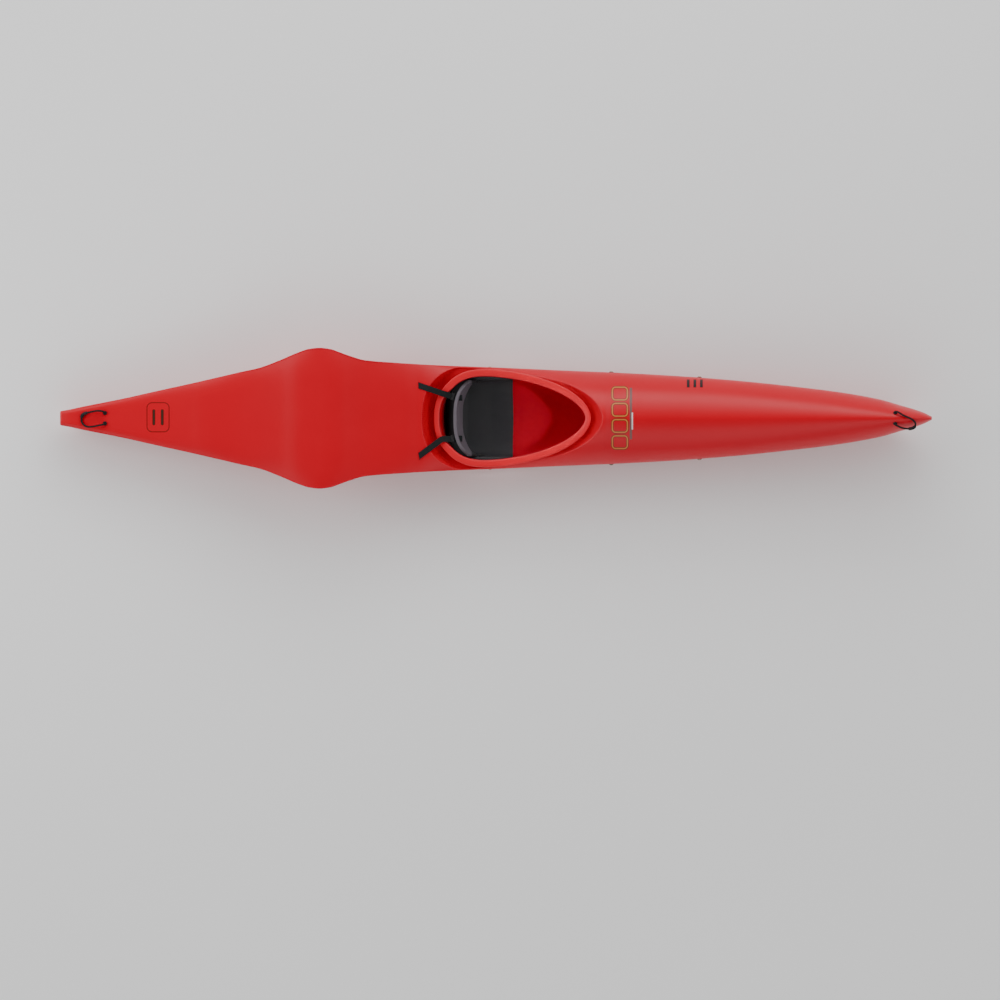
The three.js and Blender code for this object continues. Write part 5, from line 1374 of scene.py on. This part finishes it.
def seat_row(place):
    """A section of the seat's upper face, from the foot of one flange to the other's."""
    x = mix(COCKPIT_WIDEST - SEAT_REAR_REACH, COCKPIT_WIDEST + SEAT_FRONT_REACH, place)
    pan = seat_pan_share(place) * SEAT_CHEEK_HEIGHT
    cheek = seat_cheek_share(place) * SEAT_CHEEK_HEIGHT
    front = np.clip(2 * place - 1, 0, 1) ** SEAT_FORM_POWER
    across = np.linspace(0, 1, SEAT_SAMPLES)
    y = across * SEAT_HALF_WIDTH
    shaped = SEAT_POMMEL_HEIGHT * swell(y, SEAT_POMMEL_WIDTH)
    shaped = shaped - SEAT_HOLLOW_DEPTH * swell(y - SEAT_HOLLOW_PLACE, SEAT_HOLLOW_WIDTH)
    z = mix(pan, cheek, seat_curve_share(across)) + front * shaped
    lining = WALL + FIT_GAP
    foot = cheek - SEAT_FLANGE_HEIGHT
    foot_inside = hull_width_at(x, foot) - lining
    top_inside = max(hull_width_at(x, cheek) - lining, foot_inside)
    corner = SEAT_WALL
    nick = SEAT_CORNER_SHARE * corner
    outer = [
        (SEAT_HALF_WIDTH, cheek - corner), (SEAT_HALF_WIDTH + nick, cheek - nick),
        (SEAT_HALF_WIDTH + corner, cheek), (top_inside - corner, cheek),
        (top_inside - nick, cheek - nick), (top_inside, cheek - corner),
        ((top_inside + foot_inside) / 2, (cheek + foot) / 2), (foot_inside, foot),
    ]
    half = np.concatenate([evenly(np.column_stack([y, z]), SEAT_COLUMNS), outer])
    whole = np.concatenate([half[:0:-1] * (-1, 1), half])
    return np.column_stack([np.full(len(whole), x), whole])


def seat():
    """The seat pan with its flanges: a sheet that gets its wall below."""
    rows = np.array([seat_row(i / SEAT_ROWS) for i in range(SEAT_ROWS + 1)])
    made = mesh_object("seat", rows.reshape(-1, 3), grid_faces(*rows.shape[:2]), [SEAT_BLACK])
    for polygon in made.data.polygons:
        polygon.flip()
    made.data.update()
    thickened(made, SEAT_WALL)
    rounded(made, SEAT_EDGE_ROUND, 2, EDGE_ANGLE)
    finished(made)
    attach(made, "root")
    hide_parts("seat_pan")


seat()


# Back band

band_back_x = COCKPIT_WIDEST + BAND_BACK_PLACE
band_centre_x = band_back_x + BAND_RADIUS
band_curve_end = BAND_HALF_WIDTH - BAND_BEND / 2
band_arc_end = math.asin(band_curve_end / BAND_RADIUS)
band_tab_x = band_centre_x - BAND_RADIUS * math.cos(band_arc_end) + BAND_BEND
pivot_x = band_tab_x + BAND_TAB_LENGTH / 3
tab_outside = BAND_HALF_WIDTH + BAND_TAB_THICKNESS / 2
slot_height = BAND_MIDDLE_HEIGHT + BAND_HEIGHT / 2 - STRAP_SLOT_DROP
BAND_COLUMNS = 120
BAND_ROWS = 26
BAND_ROWS_OVER_SLOT = 8
BAND_LINE_POINTS = 40


def band_line_x(y):
    """Where the band's middle line lies, flat behind the back and bent forward at the sides."""
    return band_back_x + BAND_CURVE_DEPTH * (y / band_curve_end) ** BAND_CURVE_POWER


def band_half_line():
    """The band's middle line from its middle to the end of a tab: x, y and how much it is band."""
    rows = []
    for share in np.linspace(0, 1, BAND_LINE_POINTS):
        y = band_curve_end * share
        rows.append((band_line_x(y), y, 1 - BAND_END_LOSS * share ** BAND_END_POWER))
    back, inward = BAND_BEND_SHARES
    bend_y = BAND_HALF_WIDTH - inward * BAND_BEND
    rows.append((band_tab_x - back * BAND_BEND, bend_y, BAND_BEND_BODY))
    rows.append((band_tab_x, BAND_HALF_WIDTH, 0))
    rows.append((band_tab_x + BAND_TAB_LENGTH, BAND_HALF_WIDTH, 0))
    return np.array(rows)


def band_levels():
    """Heights of the band's rows, -1 to 1 over its height, with the slot between two of them."""
    slot_edges = slot_height + np.array([-1, 1]) * STRAP_SLOT_HEIGHT / 2
    under, over = (slot_edges - BAND_MIDDLE_HEIGHT) / (BAND_HEIGHT / 2)
    return [*np.linspace(-1, under, BAND_ROWS), *np.linspace(over, 1, BAND_ROWS_OVER_SLOT)]


def band_thickness(level, body):
    """Thickness of the plate, its rolled upper edge and its tabs."""
    swollen = smooth_step((level - BAND_RIM_START) / BAND_RIM_RUN)
    closing = BAND_TOP_LOSS * smooth_step((level - BAND_TOP_START) / BAND_TOP_RUN)
    plate = mix(BAND_THICKNESS, BAND_RIM_THICKNESS, float(swollen * (1 - closing)))
    return mix(BAND_TAB_THICKNESS, plate, body)


def band():
    """The back band: a bent plate with two slots for the straps and a tab at each end."""
    half = evenly(band_half_line(), BAND_COLUMNS // 2 + 1)
    line = np.concatenate([half[:0:-1], half * (1, -1, 1)])
    ahead = np.gradient(line[:, :2], axis=0)
    ahead /= np.linalg.norm(ahead, axis=1)[:, None]
    out = np.column_stack([ahead[:, 1], -ahead[:, 0]])
    levels = band_levels()
    points, weights = [], []
    for level in levels:
        for (x, y, body), (out_x, out_y) in zip(line, out):
            up = level * mix(BAND_TAB_HEIGHT, BAND_HEIGHT, body) / 2
            middle = mix(BAND_PIVOT_HEIGHT, BAND_MIDDLE_HEIGHT, body)
            away = body * BAND_LEAN_SHARE * up
            points.append((x + out_x * away, y + out_y * away, middle + up))
            weights.append(band_thickness(level, body) / BAND_RIM_THICKNESS)
    columns = len(line)
    faces = []
    slot_row = BAND_ROWS - 1
    half_slot = STRAP_WIDTH / 2 + STRAP_SLOT_MARGIN
    for face in grid_faces(len(levels), columns):
        middle_y = np.mean([abs(points[v][1]) for v in face])
        if face[0] // columns != slot_row or abs(middle_y - STRAP_PLACE) > half_slot:
            faces.append(face)
    made = mesh_object("backrest", points, faces, [BAND_GREY, TAB_PAINTED_SHADE])
    for face in made.data.polygons:
        # Faces past the grey's reach get the near-black finish of painted shade
        face.material_index = int(face.center.x > band_back_x + BAND_GREY_REACH)
    group = made.vertex_groups.new(name="thickness")
    for i, weight in enumerate(weights):
        group.add([i], weight, "REPLACE")
    thickened(made, BAND_RIM_THICKNESS, offset=0, group="thickness")
    rounded(made, BAND_EDGE_ROUND, 3, EDGE_ANGLE)
    finished(made)
    face_outwards(made)
    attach(made, "backrest")
    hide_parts("backrest_band")


band()


# Straps and their buckles

STRAP_STEP = 0.002
edge_rear = EDGE[(EDGE_OUT[:, 0] < 0) & (EDGE[:, 1] > 0)]
strap_rim_x = float(edge_rear[np.argmin(np.abs(edge_rear[:, 1] - STRAP_RIM_PLACE)), 0])
strap_end_x = strap_rim_x - STRAP_TAIL_LENGTH
band_at_strap_x = band_line_x(STRAP_PLACE) - BAND_LEAN_SHARE * (slot_height - BAND_MIDDLE_HEIGHT)


def strap_course(side):
    """Places along a strap from its slot to its tail, and its middle and width across at each."""
    slot_x = band_at_strap_x - BAND_THICKNESS
    count = round((slot_x - strap_end_x) / STRAP_STEP)
    x = np.linspace(slot_x, strap_end_x, count + 1)
    place, setback, slope = STRAP_TURNS[side]
    turn_x = strap_rim_x - setback
    inside = mix(STRAP_PLACE, place, (band_at_strap_x - x) / (band_at_strap_x - turn_x))
    across = np.where(x > turn_x, inside, place + (turn_x - x) * slope)
    spread = np.pad(across, STRAP_EASE_STEPS, mode="reflect", reflect_type="odd")
    steps = 2 * STRAP_EASE_STEPS + 1
    across = np.convolve(spread, np.ones(steps) / steps, mode="valid")
    return x, across, STRAP_WIDTH * np.hypot(1, np.gradient(across, x))


def taut_heights(places, heights):
    """Height over a row of bumps of a band pulled tight from the first to the last."""
    kept = []
    for i in range(len(places)):
        while len(kept) > 1:
            a, b = kept[-2], kept[-1]
            turn = (places[b] - places[a]) * (heights[i] - heights[a])
            if turn - (heights[b] - heights[a]) * (places[i] - places[a]) < 0:
                break
            kept.pop()
        kept.append(i)
    return np.interp(places, places[kept], heights[kept])


def strap_heights(x, across, width):
    """Heights of the strap's underside along five lines."""
    lines = []
    for share in STRAP_LINES:
        heights = shell_top(x, across + (share - 0.5) * width) + STRAP_LIFT
        heights[0] = slot_height - STRAP_THICKNESS / 2
        lines.append(taut_heights(x[0] - x, heights))
    return np.array(lines)


def softened(lines):
    """The lines with their bends eased, as stiff webbing eases them."""
    for _ in range(STRAP_EASE_PASSES):
        eased = (lines[:, :-2] + 2 * lines[:, 1:-1] + lines[:, 2:]) / 4
        lines[:, 1:-1] = np.maximum(eased, lines[:, 1:-1])
    return lines


def strap_rows(side, x, across, width, lines):
    """The strap's rows of points: a tab before the band, the fold into its slot and the run aft."""
    def row_before(place, drop):
        return [(place, side * (STRAP_PLACE + (share - 0.5) * STRAP_WIDTH), slot_height - drop)
                for share in STRAP_LINES]

    tab_x = band_at_strap_x + BAND_THICKNESS + STRAP_TAB_STANDOFF
    rows = [row_before(tab_x + STRAP_TAB_LEAN, STRAP_TAB * share) for share in STRAP_TAB_SHARES]
    rows += [row_before(tab_x + reach, drop) for reach, drop in STRAP_FOLD]
    cut = STRAP_CUTS[side]
    for i, place in enumerate(x):
        slip = cut * smooth_step((strap_end_x + cut - place) / cut) if cut else 0
        rows.append([
            (place + slip * share, side * (across[i] + (share - 0.5) * width[i]),
             line[i] + STRAP_THICKNESS / 2)
            for share, line in zip(STRAP_LINES, lines)
        ])
    return np.array(rows)


def strap(side):
    """Webbing from a tab before the band, through its slot, over the rim and onto the deck."""
    label = SIDE_LABELS[side]
    x, across, width = strap_course(side)
    lines = softened(strap_heights(x, across, width))
    rows = strap_rows(side, x, across, width, lines)
    columns = len(STRAP_LINES)
    faces = grid_faces(len(rows), columns)
    made = mesh_object(f"strap_{label}", rows.reshape(-1, 3), faces, [WEBBING])
    ways = walked(rows[:, columns // 2])
    layer = made.data.uv_layers.new(name="UVMap")
    for loop in made.data.loops:
        row, column = divmod(loop.vertex_index, columns)
        layer.data[loop.index].uv = (STRAP_LINES[column], ways[row] / STRAP_WIDTH)
    thickened(made, STRAP_THICKNESS * STRAP_WOVEN_SHARE, offset=0)
    rounded(made, STRAP_EDGE_ROUND, 2, WEBBING_EDGE_ANGLE)
    finished(made)
    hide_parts(f"backrest_strap_{label}")
    return made, x, across, lines


def rounded_ring(place, width, height, corner):
    """A rounded rectangle across the X axis, as a ring of points."""
    points = []
    for quarter, (sign_y, sign_z) in enumerate(((1, 1), (-1, 1), (-1, -1), (1, -1))):
        for step in range(BUCKLE_CORNER_STEPS + 1):
            angle = (quarter + step / BUCKLE_CORNER_STEPS) * math.pi / 2
            y = sign_y * (width / 2 - corner) + corner * math.cos(angle)
            z = sign_z * (height / 2 - corner) + corner * math.sin(angle)
            points.append((place, y, z))
    return points


def buckle(side, x, across_at, lines):
    """A moulded sleeve round the strap, between band and rim."""
    label = SIDE_LABELS[side]
    i = int(np.argmax(x < mix(x[0], strap_rim_x, BUCKLE_PLACE_SHARE)))

    def middle_at(j):
        height = (lines[0][j] + lines[-1][j] + STRAP_THICKNESS) / 2
        return Vector((float(x[j]), side * float(across_at[j]), float(height)))

    ahead = (middle_at(i + 1) - middle_at(i - 1)).normalized()
    across = Vector((0, STRAP_WIDTH, side * float(lines[-1][i] - lines[0][i])))
    up = ahead.cross(across).normalized()
    across = up.cross(ahead)
    matrix = Matrix((ahead, across, up)).transposed().to_4x4()
    matrix.translation = middle_at(i)

    half, edge = BUCKLE_LENGTH / 2, BUCKLE_EDGE
    shoulder, waist = half * BUCKLE_SHOULDER_SHARE, half * BUCKLE_WAIST_SHARE
    outside = [
        (-half, -edge), (-half + edge, 0), (-shoulder, 0), (-waist, -edge),
        (waist, -edge), (shoulder, 0), (half - edge, 0), (half, -edge),
    ]
    slot = [(half, edge), (half - edge, 0), (-half + edge, 0), (-half, edge)]
    slot_width = STRAP_WIDTH + 2 * BUCKLE_GAP
    slot_height_inside = STRAP_THICKNESS + 2 * BUCKLE_GAP
    rings = [
        rounded_ring(place, BUCKLE_WIDTH + 2 * grow, BUCKLE_THICKNESS + 2 * grow, BUCKLE_CORNER)
        for place, grow in outside
    ]
    rings += [
        rounded_ring(place, slot_width + grow, slot_height_inside + grow, BUCKLE_SLOT_CORNER)
        for place, grow in slot
    ]
    points = [matrix @ Vector(p) for row in rings for p in row]
    faces = grid_faces(len(rings), len(rings[0]), closed_across=True, closed_along=True)
    made = mesh_object(f"buckle_{label}", points, faces, [BUCKLE_BLACK])
    face_outwards(made)
    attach(made, "root")
    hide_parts(f"strap_buckle_{label}")
    return matrix.translation


def add_straps():
    """Both straps, each with its buckle."""
    for side in SIDES:
        made, x, across, lines = strap(side)
        held = buckle(side, x, across, lines)
        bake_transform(made)


add_straps()


# Screws, washers, eyelets and rope ends, each one shape set on many places

# A screw's outline, as shares of its head's radius and height; its last rows are the socket's
SHANK_SHARES = (0.3, 0.42)
SCREW_HEAD_SHARES = [
    (0.42, 0), (0.97, 0), (1, 0.12), (0.98, 0.38), (0.86, 0.68), (0.68, 0.9), (0.5, 1), (0.36, 1),
    (0.33, 0.94), (0.33, 0.35),
]
SOCKET_ROWS = 3
RING_STEPS = 16
STUB_ROWS = 6
STUB_LAST_TURN = math.pi / 2 - 0.1


def placed_copies(name, source, places, material):
    """A mesh of copies of a source, one at each (point, direction), its Z axis along the direction."""
    sockets = {
        "Geometry": ("NodeSocketGeometry", None), "Source": ("NodeSocketObject", None),
        "Size": (FLOAT, 1.0), "Finish": ("NodeSocketMaterial", None),
    }
    results = {"Geometry": "NodeSocketGeometry"}
    group, tree, inputs, outputs = node_group(name, sockets, results, "GeometryNodeTree")
    attribute = {"Name": "outward"}
    named = tree.node("GeometryNodeInputNamedAttribute", attribute, data_type="FLOAT_VECTOR")
    facing = tree.node("FunctionNodeAlignRotationToVector", {"Vector": named.outputs[0]}, axis="Z")
    shape = tree.node("GeometryNodeObjectInfo", {"Object": inputs["Source"]})
    copies = tree.node("GeometryNodeInstanceOnPoints", {
        "Points": inputs["Geometry"], "Instance": shape.outputs["Geometry"],
        "Rotation": facing.outputs[0], "Scale": inputs["Size"],
    })
    solid = tree.node("GeometryNodeRealizeInstances", {"Geometry": copies.outputs[0]})
    finish = {"Geometry": solid.outputs[0], "Material": inputs["Finish"]}
    dressed = tree.node("GeometryNodeSetMaterial", finish)
    tree.feed(outputs["Geometry"], dressed.outputs[0])

    carrier = mesh_object(name, [point for point, _ in places], [], [material])
    outward = carrier.data.attributes.new("outward", "FLOAT_VECTOR", "POINT")
    outward.data.foreach_set("vector", [c for _, direction in places for c in direction])
    modifier = carrier.modifiers.new("copies", "NODES")
    modifier.node_group = group
    given = {"Source": source, "Size": 1.0, "Finish": material}
    for item in group.interface.items_tree:
        if item.in_out == "INPUT" and item.name in given:
            modifier[item.identifier] = given[item.name]
    finished(carrier)
    bpy.data.objects.remove(source)
    return carrier


def rail_places(side):
    """Where a rail's two screws pass the hull, and the direction that both point out in."""
    rear_x = COCKPIT_FRONT_END + RAIL_REAR_REACH
    rear, rear_out = hull_place(rear_x, RAIL_REAR_HEIGHT, side)
    front, front_out = hull_place(rear_x + RAIL_SCREW_SPACING, RAIL_FRONT_HEIGHT, side)
    along = (front - rear).normalized()
    outward = rear_out + front_out
    outward -= along * outward.dot(along)
    return [(rear, outward.normalized()), (front, outward.normalized())]


def hull_fixings():
    """Places and directions of the seat's and the rails' screws on both sides."""
    fixings = []
    for side in SIDES:
        fixings.append(hull_place(COCKPIT_WIDEST + SEAT_SCREW_PLACE, SEAT_SCREW_HEIGHT, side))
        fixings += rail_places(side)
    return fixings


def screw_source(radius, height, shank):
    """A domed head with a six-sided socket, on the shank that reaches down from its seat."""
    below = [(radius * share, -shank) for share in SHANK_SHARES]
    head = [(radius * wide, height * tall) for wide, tall in SCREW_HEAD_SHARES]
    profile = below + head
    hex_from = len(profile) - SOCKET_ROWS
    return turned_mesh("screw_source", profile, TURNED_SIDES, [SCREW_STEEL], hex_from)


def ring_source(inner, outer, low, high, squareness):
    """A washer or eyelet: a ring with rounded edges."""
    def bulged(value):
        return 0.5 + math.copysign(abs(value) ** squareness, value) / 2

    turns = [2 * math.pi * step / RING_STEPS for step in range(RING_STEPS)]
    section = [(mix(inner, outer, bulged(math.cos(turn))), mix(low, high, bulged(math.sin(turn))))
               for turn in turns]
    sides = [2 * math.pi * side / TURNED_SIDES for side in range(TURNED_SIDES)]
    points = [(radius * math.cos(side), radius * math.sin(side), height)
              for radius, height in section for side in sides]
    faces = grid_faces(RING_STEPS, TURNED_SIDES, closed_across=True, closed_along=True)
    made = mesh_object("ring_source", points, faces, [RUBBER_BLACK])
    face_outwards(made)
    return made


def add_hull_fixings():
    """The heads and washers of the screws through the hull."""
    fixings = hull_fixings()
    heads = [(point + outward * WASHER_THICKNESS, outward) for point, outward in fixings]
    screw = screw_source(SCREW_HEAD_RADIUS, SCREW_HEAD_HEIGHT, WASHER_THICKNESS)
    washer = ring_source(
        WASHER_HOLE_RADIUS, WASHER_RADIUS, -WASHER_SINK, WASHER_THICKNESS, WASHER_SQUARENESS)
    screws = placed_copies("hull_screws", screw, heads, SCREW_STEEL)
    washers = placed_copies("hull_washers", washer, fixings, RUBBER_BLACK)
    for made, word, slot in ((screws, "screw", "screw_steel"), (washers, "washer", "washer_rubber")):
        nodes = [f"{place}_{word}_{label}" for place in ("seat", "rail_rear", "rail_front")
                 for label in SIDE_LABELS.values()]
        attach(made, "root")
        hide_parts(*nodes)


def add_pivots():
    """The two screws in the seat's cheeks that the band tilts on, their heads inside."""
    pivots = []
    for side in SIDES:
        inside = side * (tab_outside - BAND_TAB_THICKNESS - FIT_GAP)
        pivots.append((Vector((pivot_x, inside, BAND_PIVOT_HEIGHT)), Vector((0, -side, 0))))
    screw = screw_source(PIVOT_HEAD_RADIUS, PIVOT_HEAD_HEIGHT, PIVOT_SHANK)
    pins = placed_copies("pivot_screws", screw, pivots, SCREW_DARK)
    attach(pins, "root")
    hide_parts("backrest_pivot_screw_left", "backrest_pivot_screw_right")


def add_loop_fittings():
    """The eyelets in the deck and the rope's ends that stand in them."""
    anchors = [deck_place(x, side * ANCHOR_SPREAD / 2)
               for x in (STERN_LOOP_X, BOW_LOOP_X) for side in SIDES]
    hole = ROPE_RADIUS + EYELET_CLEARANCE
    eyelet = ring_source(hole, EYELET_RADIUS, -EYELET_SINK, EYELET_HEIGHT, EYELET_SQUARENESS)
    eyelets = placed_copies("loop_eyelets", eyelet, anchors, BUCKLE_BLACK)
    nodes = [f"{end}_loop_eyelet_{label}" for end in ("stern", "bow")
             for label in SIDE_LABELS.values()]
    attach(eyelets, "root")
    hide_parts(*nodes)

    rounding = [(ROPE_RADIUS * math.cos(turn), ROPE_TURN + ROPE_RADIUS * math.sin(turn))
                for turn in np.linspace(0, STUB_LAST_TURN, STUB_ROWS)]
    stub = turned_mesh("stub_source", [(ROPE_RADIUS, -WALL), *rounding], ROPE_SIDES, [ROPE])
    stubs = placed_copies("loop_rope_ends", stub, anchors, SLEEVE_BLACK)
    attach(stubs, "root")


add_hull_fixings()
add_pivots()
add_loop_fittings()


# Finishes of the pieces that keep their own shape

def dress(node, material):
    """Gives a CAD node's own mesh its finish."""
    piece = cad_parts[node]
    piece.data.materials.clear()
    piece.data.materials.append(material)


for label in SIDE_LABELS.values():
    for kind in ("seat_nut", "rail_rear_nut", "rail_front_nut", "backrest_pivot_nut", "foot_pedal_pin"):
        dress(f"{kind}_{label}", SCREW_STEEL)
    dress(f"foot_rail_{label}", RAIL_ALUMINIUM)
    dress(f"foot_slider_{label}", PEDAL_BLACK)
    dress(f"foot_pedal_{label}", PEDAL_BLACK)
    for end in ("stern", "bow"):
        dress(f"{end}_loop_knot_{label}", SLEEVE_BLACK)
for node in ("front_foam_pillar", "rear_foam_pillar"):
    dress(node, FOAM)
